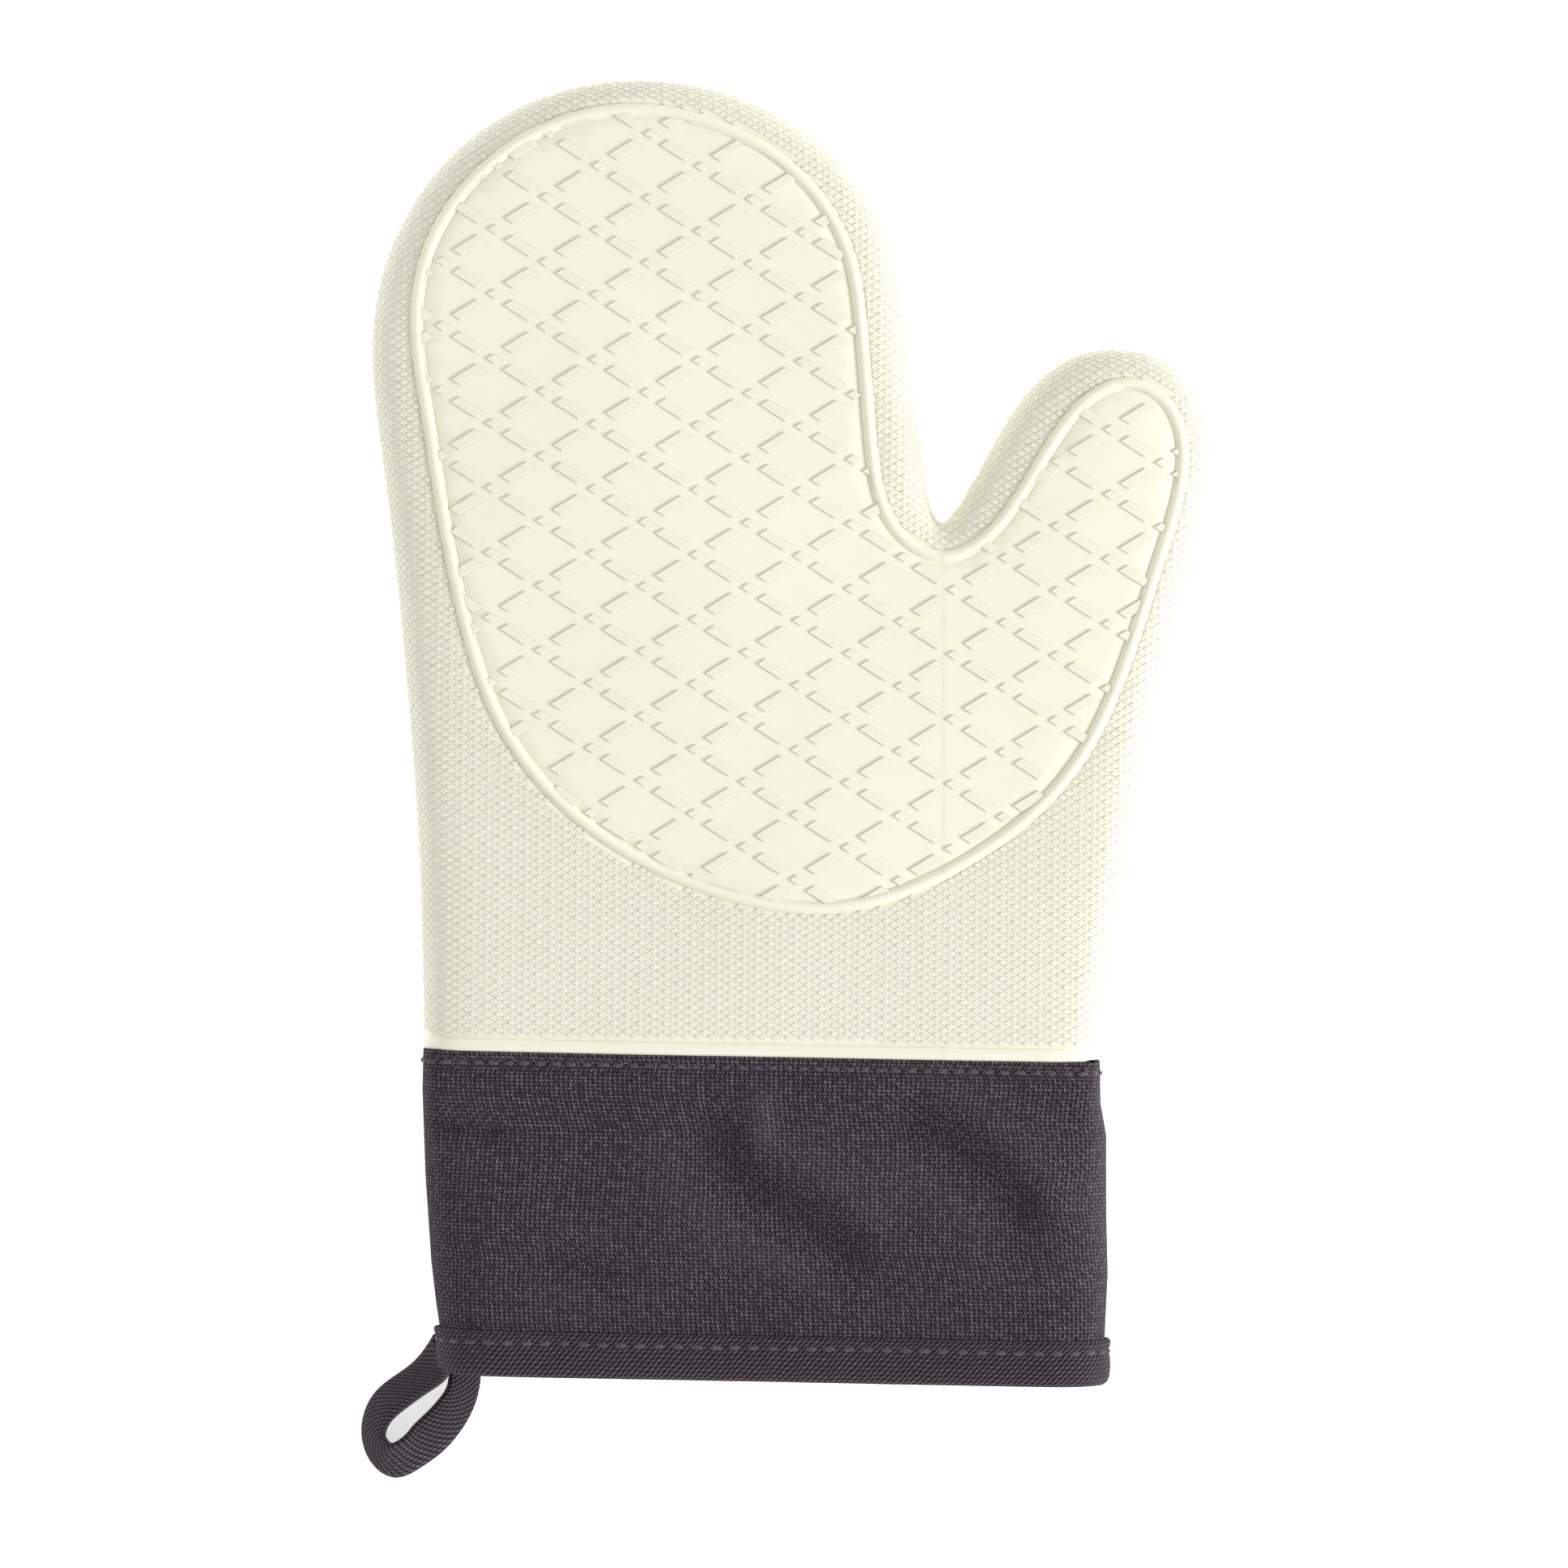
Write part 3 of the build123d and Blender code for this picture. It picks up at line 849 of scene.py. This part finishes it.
# %% Thread, lining and wadding
thread = Finish("plum_thread", 0.7, 0.35)
thread.colour(thread.mix(thread.noise(900), srgb(44, 36, 44), srgb(98, 86, 97)))
thread.shader.inputs["Sheen Weight"].default_value = 0.25
thread.bump(thread.noise(1800, 2), 0.12, 0.8)

cotton = Finish("pale_cotton", 0.92, 0.2)
height = cotton.threads(0.7, 0.7)
# Painted shade: the hollows of the weave are darker and the thread tops lighter, on top of the bump from
# the same height.
cotton.colour(cotton.mix(height, srgb(176, 172, 162), srgb(214, 210, 200)))
cotton.shader.inputs["Sheen Weight"].default_value = 0.15
cotton.bump(height, 0.15, 0.7)

fluff = Finish("white_wadding", 0.98, 0.1)
fluff.colour(fluff.mix(fluff.noise(300, 6, 0.75), srgb(206, 204, 198), srgb(238, 237, 232)))
fluff.bump(fluff.noise(700, 6, 0.8), 0.6, 0.8)
print(len(bpy.data.materials), "finishes")

# %% [markdown]
# ## Two sides of the skin
# Each side joins its share of the shell, palm and back, with the relief on it. The back has the
# same pattern as the palm, as such mitts fit either hand.

# %% Finger side and thumb side
def share_of(points, faces, side, wanted):
    """The faces of one side, with both halves of the hand."""
    chosen = [f for f, s in zip(faces, side) if s == wanted]
    used = np.unique(np.concatenate([np.array(f) for f in chosen]))
    place = np.full(len(points), -1)
    place[used] = np.arange(len(used))
    return both_halves(points[used], [tuple(place[list(f)]) for f in chosen])


def finish_piece(obj, finish, sharp=None):
    """Gives a piece its finish and its crisp edges."""
    obj.data.materials.clear()
    obj.data.materials.append(finish.material)
    if sharp:
        obj.data.set_sharp_from_angle(angle=radians(sharp))


def bend_with(obj, thumb):
    """Bakes the piece's placement into its mesh."""
    if thumb:
        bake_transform(obj)
    else:
        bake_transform(obj)


for number, name in enumerate(("silicone_skin_fingers_side", "silicone_skin_thumb_side")):
    points, faces = share_of(skin_points, skin_parts[2], skin_parts[3], number)
    obj = thicken(mesh_piece(name, points, faces, merge=0.002), SKIN_WALL)
    co = np.zeros(len(obj.data.vertices) * 3)
    obj.data.vertices.foreach_get("co", co)
    points = co.reshape(-1, 3) / MM
    faces = [tuple(p.vertices) for p in obj.data.polygons]
    bpy.data.objects.remove(obj)
    for laid, laid_faces, side in grip:
        side_of_face = np.array([side[f[0]] for f in laid_faces])
        more, more_faces = share_of(laid, laid_faces, side_of_face, number)
        faces += [tuple(int(i) + len(points) for i in f) for f in more_faces]
        points = np.vstack([points, more])
    obj = mesh_piece(name, points, faces)
    finish_piece(obj, cream, 42)
    bend_with(obj, number == 1)
    print(name, len(obj.data.polygons), "faces")

# %% [markdown]
# ## The liner inside the hand
# Between skin and lining lies a padded layer. Both follow the skin's form at their own depth, so the
# same builder makes them with a coarser mesh. The lining is quilted: it is drawn in along lines.

# %% Wadding and lining of the hand
def quilted(plan):
    """Quilting lines 24 mm apart draw the cloth inwards."""
    x, y = plan[:, 0], plan[:, 1]
    lines = np.abs(np.sin((x + y) * pi / 34)) * np.abs(np.sin((x - y) * pi / 34))
    return 0.7 * np.sqrt(lines) - 0.7


def inner_layer(stem, inset, thickness, step, finish, nodes):
    """One inner layer of the hand in its two sides."""
    form = Form(inset)
    plan, extra, faces, side = half_shell(form, step, step * 1.1, 0.6, walls=6)
    points = shell_points(form, plan, extra, quilted)
    for number, name in enumerate(("fingers_side", "thumb_side")):
        some, some_faces = share_of(points, faces, side, number)
        obj = mesh_piece(f"{stem}_{name}", some, some_faces, merge=0.01)
        thicken(obj, thickness)
        finish_piece(obj, finish)
        bend_with(obj, number == 1)
        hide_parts(*nodes[number])
        print(obj.name, len(obj.data.polygons), "faces")


for layer, inset, thickness, step, finish in (
    ("wadding", 1.95, 2.8, 3.4, fluff), ("lining", 4.85, 0.8, 3.0, cotton),
):
    nodes = [
        [f"{layer}_{s}_{p}" for s in ("front", "back") for p in ("hand", "fingers")],
        [f"{layer}_{s}_thumb" for s in ("front", "back")],
    ]
    inner_layer(layer, inset, thickness, step, finish, nodes)

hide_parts("silicone_hand", "silicone_fingers")
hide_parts("silicone_thumb")

# %% [markdown]
# ## The cuff
# The cuff is two shaped pieces of canvas joined at the side seams. I set out its section by the
# distance down from the hem: the width of the silicone at the top, a little wider in the middle,
# lower and softer at the mouth. Folds are drawn as lines with a depth and a width; the cloth was
# gathered by the stitching, which also leaves small puckers. Cloth simulation isn't needed for a
# piece that is sewn down all round, so the folds are shaped directly.

# %% Folds of the cuff
FOLDS = [
    ([(-77, -71.0), (-68, -73.6), (-59, -75.0)], 2.4, 3.0),
    ([(-17.6, -66), (-15.5, -74), (-11.5, -81.8), (1.6, -90.5), (11, -98), (19, -105.4)], 4.6, 5.5),
    ([(20.8, -69.6), (30.4, -73.1), (40.8, -80.1), (49.5, -90.5), (52.2, -98)], 4.2, 5.2),
    ([(-54, -100.2), (-45, -102.6), (-35, -104.8)], 2.2, 3.4),
    ([(-4.5, -64), (-4.8, -71), (-4.0, -78)], -1.0, 3.0),
    ([(-30, -114), (-10, -110), (8, -112)], 0.8, 5.0),
    ([(34, -108), (50, -112), (62, -110)], 0.9, 4.0),
]


def fold_depth(x, y):
    """How far the folds draw the cloth in at points of the plan."""
    depth = np.zeros(x.shape)
    for line, deep, wide in FOLDS:
        at, last = cubic(line, False)
        path = at(np.linspace(0, last, 40))
        share = np.linspace(0, 1, 40)
        gap = np.hypot(x[..., None] - path[:, 0], y[..., None] - path[:, 1])
        k = gap.argmin(-1)
        near = np.take_along_axis(gap, k[..., None], -1)[..., 0]
        fade = np.clip(np.sin(pi * np.clip(share[k] * 0.94 + 0.03, 0, 1)) * 1.8, 0, 1)
        ridge = 0.28 * np.exp(-(near / wide / 2.3) ** 2)
        depth += deep * fade * (np.exp(-(near / wide) ** 2) - ridge)
    return depth


print(len(FOLDS), "folds, the deepest", max(fold[1] for fold in FOLDS), "mm")

# %% [markdown]
# Width, top and bottom of the cuff are given at a few distances down from the hem. The rounding at
# the side seams goes from the stiff one of the silicone's flange to a soft one at the mouth.
# Besides the folds there are slow waves, puckers along both seams and gathers under the hem.

# %% The cuff as a surface
CUFF_LENGTH = 69.4
LEFT = ([0, 9, 27, 46, 55, 61, 71], [-77.6, -77.7, -76.9, -75.3, -74.1, -73.1, -71.8])
RIGHT = ([0, 9, 16, 35, 46, 61, 71], [68.0, 68.35, 69.8, 70.3, 70.8, 70.4, 70.2])
TOP = ([0, 10, 33, 60, 71], [29.7, 29.2, 27.4, 24.9, 24.0])
BOTTOM = ([0, 10, 40, 71], [1.3, 1.1, 0.9, 0.9])
STIFF = ([0, 0, 0.1, 0.35, 0.8, 1.4, 2.2, 3.2, 4.3, 5.6, 7.2, 9.2, 11.5, 14.0],
         [0, 0.2, 0.39, 0.53, 0.67, 0.78, 0.87, 0.925, 0.95, 0.968, 0.978, 0.985, 0.992, 0.998])
SOFT = [0, 0.16, 0.3, 0.43, 0.55, 0.66, 0.75, 0.82, 0.87, 0.91, 0.945, 0.97, 0.988, 0.997]


def cuff_grid(down, front, flat=118):
    """Points and outward directions of one cuff face, rows down and columns across."""
    down = np.asarray(down, float)[:, None]
    left, right, top, bottom = (np.interp(down, *t) for t in (LEFT, RIGHT, TOP, BOTTOM))
    middle = (top + bottom) / 2
    soft_z = np.array(SOFT)
    soft_d = 14 * (1 - (1 - soft_z ** 2.1) ** (1 / 2.1))
    blend = np.clip(down / 34, 0, 1)
    blend = blend ** 2 * (3 - 2 * blend)
    d = np.array(STIFF[0]) * (1 - blend) + soft_d * blend
    z = np.array(STIFF[1]) * (1 - blend) + soft_z * blend
    share = np.linspace(0, 1, flat)[None, 1:-1]
    x = np.hstack([left + d, (left + 14) + (right - left - 28) * share, (right - d)[:, ::-1]])
    z = np.hstack([z, np.ones_like(down) + 0 * share, z[:, ::-1]])
    turn = HEM_TURN
    wx = x * cos(turn) + down * sin(turn)
    wy = HEM_Y + x * sin(turn) - down * cos(turn)
    flatness = np.clip((z - 0.55) / 0.4, 0, 1)
    other = 1.0 if front else -1.0
    ease = np.clip(down / 3, 0, 1) * np.clip((75 - down) / 14, 0.25, 1)
    drop = fold_depth(wx if front else -wx * 0.9 + 4, wy) * flatness * ease * (1 if front else 0.7)
    drop += 0.5 * np.sin(wx / 7.5 + wy / 11) * np.sin(wy / 8.5 - wx / 21 + other) * flatness * ease
    drop += 0.25 * np.sin(wx / 3.1 + 2 * np.sin(wy / 6)) * np.cos(wy / 4.7) * flatness * ease * 0.5
    pucker = np.exp(-((down - 2.5) / 1.3) ** 2) + 0.7 * np.exp(-((down - 61.5) / 2.2) ** 2)
    drop += 0.2 * pucker * (1 + np.sin(wx * 2 * pi / 3.4)) * flatness
    gather = np.exp(-((down - 5.5) / 4.0) ** 2) * (np.sin(wx / 1.9 + np.sin(wx / 7)) + np.sin(wx / 3.3))
    drop += 0.14 * gather * flatness
    drop += 0.5 * np.exp(-(down / 0.25) ** 2) + 0.45 * np.exp(-((down - 2.5) / 0.6) ** 2) * flatness
    height = (middle + (top - middle) * z - drop) if front else (middle - (middle - bottom) * z + drop)
    height = np.maximum(height, 0.75)
    points = np.dstack([wx, wy, height])
    across = np.gradient(points, axis=1)
    if len(down) > 1:
        along = np.gradient(points, axis=0)
    else:
        along = np.zeros_like(points) + [sin(turn), -cos(turn), -0.08 * other]
    normal = np.cross(across, along) * -other
    normal /= np.maximum(np.linalg.norm(normal, axis=2), 1e-9)[..., None]
    normal[:, 0] = [-cos(turn), -sin(turn), 0]
    normal[:, -1] = [cos(turn), sin(turn), 0]
    return points, normal


def grid_faces(rows, cols, wrap=False):
    """Quads of a grid of points, numbered row by row."""
    last = cols if wrap else cols - 1
    return [
        (r * cols + c, r * cols + (c + 1) % cols, (r + 1) * cols + (c + 1) % cols, (r + 1) * cols + c)
        for r in range(rows - 1) for c in range(last)
    ]


def set_uv(obj, uv):
    """Writes a UV map (metres) from one pair for each vertex."""
    layer = obj.data.uv_layers.new(name="UVMap")
    corner = np.zeros(len(obj.data.loops), np.int32)
    obj.data.loops.foreach_get("vertex_index", corner)
    layer.data.foreach_set("uv", (np.asarray(uv) * MM)[corner].astype(np.float32).ravel())


# %% [markdown]
# Canvas for palm side and back, one millimetre thick. The cloth's own map follows its threads,
# measured along the surface, so the weave isn't stretched round the sides.

# %% Canvas faces of the cuff
cuff_rows = np.concatenate([[0, 0.25, 0.6, 1.1, 1.7, 2.3, 2.9], np.linspace(3.6, CUFF_LENGTH, 86)])
for front, name in ((True, "cuff_canvas_palm"), (False, "cuff_canvas_back")):
    points, normal = cuff_grid(cuff_rows, front)
    rows, cols = points.shape[:2]
    steps = np.linalg.norm(np.diff(points, axis=1), axis=2)
    u = np.hstack([np.zeros((rows, 1)), np.cumsum(steps, axis=1)])
    u -= u[:, cols // 2][:, None]
    v = np.repeat(cuff_rows[:, None], cols, 1)
    inner = points - normal * 1.0
    count = rows * cols
    faces = grid_faces(rows, cols)
    faces += [tuple(i + count for i in f[::-1]) for f in grid_faces(rows, cols)]
    rim = list(range(cols)) + [r * cols + cols - 1 for r in range(1, rows)]
    rim += [(rows - 1) * cols + c for c in range(cols - 2, -1, -1)]
    rim += [r * cols for r in range(rows - 2, 0, -1)]
    for a, b in zip(rim, rim[1:] + rim[:1]):
        faces.append((a, b, b + count, a + count))
    obj = mesh_piece(name, np.vstack([points.reshape(-1, 3), inner.reshape(-1, 3)]), faces)
    uv = np.dstack([u, v]).reshape(-1, 2)
    set_uv(obj, np.vstack([uv, uv]))
    # Fold depth, which the canvas finish turns into painted shade in the valleys and painted highlight
    # on the ridges.
    x = points[..., 0] if front else 4 - 0.9 * points[..., 0]
    fold = np.tile(fold_depth(x, points[..., 1]).ravel(), 2)
    layer = obj.data.attributes.new("fold", "FLOAT", "POINT")
    layer.data.foreach_set("value", fold.astype(np.float32))
    outward(obj)
    finish_piece(obj, canvas, 60)
    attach(obj, "hand")
    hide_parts("cuff_front" if front else "cuff_back")
    area = (steps.mean(1) * (cols - 1)).mean() * CUFF_LENGTH
    print(name, rows, "x", cols, "cloth of", round(area / 100), "square centimetres")

# %% [markdown]
# Inside the cuff lie the same padding and lining, as tubes. At the top they start inside the
# silicone's flange, and at the mouth they come close under the canvas.

# %% Wadding and lining of the cuff
def round_mouth(down, offsets):
    """Closed rows of points round the cuff at an offset from the cloth's outer face."""
    rows = []
    for place, offset in zip(down, offsets):
        near = [place - 0.1, place, place + 0.1]
        (palm, palm_n), (back, back_n) = (cuff_grid(near, front) for front in (True, False))
        points = np.vstack([palm[1], back[1, -2:0:-1]])
        normal = np.vstack([palm_n[1], back_n[1, -2:0:-1]])
        rows.append(points + normal * offset)
    return np.array(rows)


def tube(name, down, outer, thickness, finish, nodes):
    """A closed cloth tube with a palm and a back, and a given thickness."""
    outside = round_mouth(down, outer)
    inside = round_mouth(down, np.asarray(outer) - thickness)
    rows, cols = outside.shape[:2]
    count = rows * cols
    ring = np.vstack([outside.reshape(-1, 3), inside.reshape(-1, 3)])
    faces = grid_faces(rows, cols, True)
    faces += [tuple(i + count for i in f[::-1]) for f in grid_faces(rows, cols, True)]
    for row in (0, rows - 1):
        for c in range(cols):
            a, b = row * cols + c, row * cols + (c + 1) % cols
            faces.append((a, b, b + count, a + count))
    obj = mesh_piece(name, ring, faces)
    run = np.cumsum(np.linalg.norm(np.roll(outside, -1, 1) - outside, axis=2), axis=1)
    uv = np.dstack([run, np.repeat(np.asarray(down)[:, None], cols, 1)]).reshape(-1, 2)
    set_uv(obj, np.vstack([uv, uv]))
    outward(obj)
    finish_piece(obj, finish)
    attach(obj, "hand")
    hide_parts(*nodes)
    print(name, len(obj.data.polygons), "faces")
    return obj


down = np.linspace(0.2, 68.6, 24)
under = np.interp(down, [0, 8, 16, 70], [-4.9, -4.9, -1.6, -1.1])
padding = tube(
    "cuff_wadding", down, under, 2.1, fluff,
    ["wadding_front_hand", "wadding_back_hand"])
tube(
    "cuff_lining", down, under - 2.15, 0.8, cotton,
    ["lining_front_hand", "lining_back_hand"])

# %% [markdown]
# ## Binding of the mouth
# A twill tape is folded over the raw edges of all layers and sewn through. Its section is a narrow
# U that I carry once round the mouth.

# %% Edge binding
SECTION = [
    (60.3, -0.1), (60.0, 0.4), (60.1, 1.0), (60.6, 1.35), (61.6, 1.25), (62.6, 0.85), (63.8, 1.3),
    (66.0, 1.5), (68.2, 1.4), (69.3, 1.0), (69.9, 0.2), (70.1, -0.8), (70.1, -2.0), (69.9, -3.4),
    (69.4, -4.4), (68.4, -5.0), (66.0, -5.15), (62.0, -5.1), (60.6, -5.0), (60.5, -4.35),
    (62.0, -4.25), (67.6, -4.25), (68.9, -3.6), (69.2, -2.2), (69.1, -0.9), (68.4, -0.1), (64.0, -0.1),
]
ring = round_mouth([s[0] for s in SECTION], [s[1] for s in SECTION])
wave = np.linspace(0, 2 * pi * 37, ring.shape[1], endpoint=False)
ring[3:10, :, 1] += 0.12 * np.sin(wave)
rows, cols = ring.shape[:2]
faces = grid_faces(rows, cols, True)
top_row = (rows - 1) * cols
faces += [(top_row + c, top_row + (c + 1) % cols, (c + 1) % cols, c) for c in range(cols)]
binding = mesh_piece("edge_binding_tape", ring.reshape(-1, 3), faces)
width = np.concatenate([[0], np.cumsum(np.hypot(*np.diff(np.array(SECTION), axis=0).T))])
run = np.concatenate([[0], np.cumsum(np.linalg.norm(np.diff(ring[5], axis=0), axis=1))])
set_uv(binding, np.dstack(np.meshgrid(run, width)).reshape(-1, 2))
outward(binding)
finish_piece(binding, tape, 70)
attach(binding, "hand")
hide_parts("edge_binding")
print("binding", len(binding.data.polygons), "faces,", round(float(run[-1])), "mm round")

# %% [markdown]
# ## Stitching
# Two rows of lockstitch: one holds the canvas to the silicone just under the fold, the other sews
# the binding. A stitch is a short thread that sinks in at both ends.

# %% One stitch
def stitch_shape(length, wide, tall):
    """One stitch along X, arched, with its ends below the cloth."""
    rows, cols = 9, 8
    points, faces = [], []
    for r in range(rows):
        s = r / (rows - 1) * 2 - 1
        thick = (1 - abs(s) ** 3.0) * 0.75 + 0.25
        for c in range(cols):
            a = 2 * pi * c / cols
            y = wide / 2 * thick * cos(a)
            z = tall / 2 * thick * sin(a) + tall * (0.25 - 0.8 * s ** 4)
            points.append((s * length / 2, y, z))
    faces = grid_faces(rows, cols, True)
    faces += [tuple(range(cols)), tuple((rows - 1) * cols + c for c in range(cols - 1, -1, -1))]
    obj = mesh_piece("stitch", points, faces)
    outward(obj)
    return obj


print("a stitch has", 9 * 8, "points")

# %% [markdown]
# The stitches stand on the cloth, each turned along the row and square to it. The machine's small
# unevenness is a few hundredths in length, from a fixed seed.

# %% Rows of stitches
def stitch_row(name, down, pitch, lift, length, wide, tall, node):
    """Stitches along one line of the cuff, on the palm side and on the back."""
    homes, turns = [], []
    for front in (True, False):
        points, normal = (part[1] for part in cuff_grid([down - 0.1, down, down + 0.1], front))
        points = points + normal * lift
        run = np.concatenate([[0], np.cumsum(np.linalg.norm(np.diff(points, axis=0), axis=1))])
        want = np.arange(2.2, run[-1] - 2.0, pitch)
        spot = np.column_stack([np.interp(want, run, points[:, k]) for k in range(3)])
        ahead = np.column_stack([np.interp(want + 0.5, run, points[:, k]) for k in range(3)]) - spot
        up = np.column_stack([np.interp(want, run, normal[:, k]) for k in range(3)])
        for place, x_axis, z_axis in zip(spot, ahead, up):
            x_axis = Vector(x_axis).normalized()
            z_axis = (Vector(z_axis) - Vector(z_axis).dot(x_axis) * x_axis).normalized()
            y_axis = z_axis.cross(x_axis)
            frame_of = [[x_axis[k], y_axis[k], z_axis[k]] for k in range(3)]
            turns.append(tuple(Matrix(frame_of).to_euler()))
            homes.append(place)
    points, faces = repeated(
        stitch_shape(length, wide, tall), homes, turns, uneven=0.05, seed=7, finish=thread.material)
    obj = mesh_piece(name, points, faces)
    outward(obj)
    finish_piece(obj, thread)
    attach(obj, "hand")
    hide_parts(node)
    print(name, len(homes), "stitches")


stitch_row("cuff_top_stitches", 2.5, 3.4, 0.05, 2.5, 0.85, 0.65, "cuff_top_stitching")
stitch_row("binding_stitches", 62.6, 4.1, 0.9, 3.0, 0.95, 0.7, "binding_stitching")

# %% [markdown]
# ## Hanging loop
# A short length of tape folded lengthwise, sewn into the corner of the mouth. It bows out and back
# under the cuff, leaning, so it is lofted through stations that give both of its edges.

# %% Loop of folded tape
LOOP = [
    (-75.6, -119.0, 10.5, -72.4, -126.6, 13.5), (-78.7, -123.6, 7.5, -73.4, -129.0, 12.0),
    (-82.5, -127.2, 5.0, -77.6, -132.0, 10.5), (-86.6, -130.2, 3.0, -82.0, -135.2, 9.0),
    (-89.8, -133.8, 1.9, -85.2, -138.0, 8.2), (-91.6, -139.5, 1.5, -86.6, -141.0, 8.0),
    (-90.9, -145.0, 1.5, -86.0, -142.4, 8.0), (-88.0, -149.3, 1.5, -84.6, -142.9, 8.0),
    (-84.0, -150.8, 1.5, -82.0, -141.2, 7.5), (-79.0, -148.6, 1.5, -80.4, -139.2, 6.5),
    (-74.0, -144.9, 1.5, -77.4, -136.2, 6.0), (-70.2, -140.4, 1.5, -75.0, -133.6, 6.0),
    (-67.6, -135.6, 1.7, -73.2, -131.0, 6.5), (-66.3, -130.8, 2.0, -72.6, -128.2, 7.0),
    (-66.0, -126.0, 2.4, -72.4, -124.0, 7.5),
]
TAPE_THICK = 2.2
at, last = cubic(LOOP, False)
edges = at(np.linspace(0, last, 110))
low_edge, high_edge = edges[:, :3], edges[:, 3:]
middle = (low_edge + high_edge) / 2
along = np.gradient(middle, axis=0)
along /= np.linalg.norm(along, axis=1)[:, None]
wide = high_edge - low_edge
face_out = np.cross(along, wide)
face_out /= np.linalg.norm(face_out, axis=1)[:, None]
points = []
angles = np.linspace(0, 2 * pi, 28, endpoint=False)
for k in range(len(middle)):
    for a in angles:
        s = np.sign(cos(a)) * abs(cos(a)) ** 0.55
        t = np.sign(sin(a)) * abs(sin(a)) ** 0.75
        crease = 1 - 0.55 * np.exp(-((s - 0.93) / 0.09) ** 2) * (abs(t) < 0.35)
        out_by = face_out[k] * TAPE_THICK / 2 * t
        points.append(middle[k] + wide[k] * 0.5 * s * (0.9 + 0.1 * crease) + out_by)
rows, cols = len(middle), len(angles)
faces = grid_faces(rows, cols, True)
faces += [tuple(range(cols))[::-1], tuple((rows - 1) * cols + c for c in range(cols))]
loop = mesh_piece("hanging_loop_tape", points, faces)
run = np.concatenate([[0], np.cumsum(np.linalg.norm(np.diff(middle, axis=0), axis=1))])
across = np.array([np.sign(cos(a)) * abs(cos(a)) ** 0.55 for a in angles]) * 4.8
uv = np.dstack([np.repeat(run[:, None], cols, 1), np.repeat(across[None], rows, 0)])
set_uv(loop, uv.reshape(-1, 2))
outward(loop)
finish_piece(loop, tape, 60)
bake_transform(loop)
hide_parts("hanging_loop")
print("loop", round(float(run[-1])), "mm of tape")

# %% [markdown]
# ## Floor
# The mitt is shown from straight above on a white floor that glows a little, so it stays white in
# the soft shadow round the mitt.

# %% Floor
mesh = bpy.data.meshes.new("floor")
corners = [(-4, -4, -0.0004), (4, -4, -0.0004), (4, 4, -0.0004), (-4, 4, -0.0004)]
mesh.from_pydata(corners, [], [(0, 1, 2, 3)])
floor = bpy.data.objects.new("floor", mesh)
bpy.context.scene.collection.objects.link(floor)
paper = bpy.data.materials.new("white_paper")
paper.use_nodes = True
sheet_of = paper.node_tree.nodes["Principled BSDF"].inputs
sheet_of["Base Color"].default_value = (0.93, 0.93, 0.93, 1)
sheet_of["Roughness"].default_value = 0.9
sheet_of["Emission Color"].default_value = (1, 1, 1, 1)
sheet_of["Emission Strength"].default_value = 0.62
floor.data.materials.append(paper)
print("floor at", corners[0][2] * 1000, "mm")

# %% [markdown]
# ## Lights and camera
# A soft key light stands low at the right, so the relief throws fine shadows to the left, and a
# weaker fill and an even white surround keep them open. The camera looks straight down.

# %% Lights and camera
def soft_light(name, place, size, power):
    """A square area light that looks at the mitt."""
    data = bpy.data.lights.new(name, "AREA")
    data.size = size
    data.energy = power
    lamp = bpy.data.objects.new(name, data)
    lamp.location = place
    lamp.rotation_mode = "QUATERNION"
    lamp.rotation_quaternion = (Vector((0, 0, 0)) - Vector(place)).to_track_quat("-Z", "Y")
    bpy.context.scene.collection.objects.link(lamp)


soft_light("key", (1.5, -0.3, 0.85), 0.45, 23)
soft_light("fill", (-1.1, 0.5, 1.2), 1.4, 5.5)
world = bpy.data.worlds.new("studio")
world.use_nodes = True
world.node_tree.nodes["Background"].inputs["Color"].default_value = (1, 1, 1, 1)
world.node_tree.nodes["Background"].inputs["Strength"].default_value = 0.61
bpy.context.scene.world = world
bpy.context.scene.view_settings.view_transform = "Standard"

camera = bpy.data.objects.new("camera", bpy.data.cameras.new("camera"))
camera.location = (0, 0, 1.52)
camera.data.sensor_width = 36
camera.data.lens = 160.2
bpy.context.scene.collection.objects.link(camera)
bpy.context.scene.camera = camera
print("camera", camera.location.z, "m above the mitt")

# %% [markdown]
# ## Last step
# The scene is brought up to date. The visible model must stay in the CAD model's box
# but for a few millimetres.

# %% Bringing the scene up to date
bpy.context.view_layer.update()
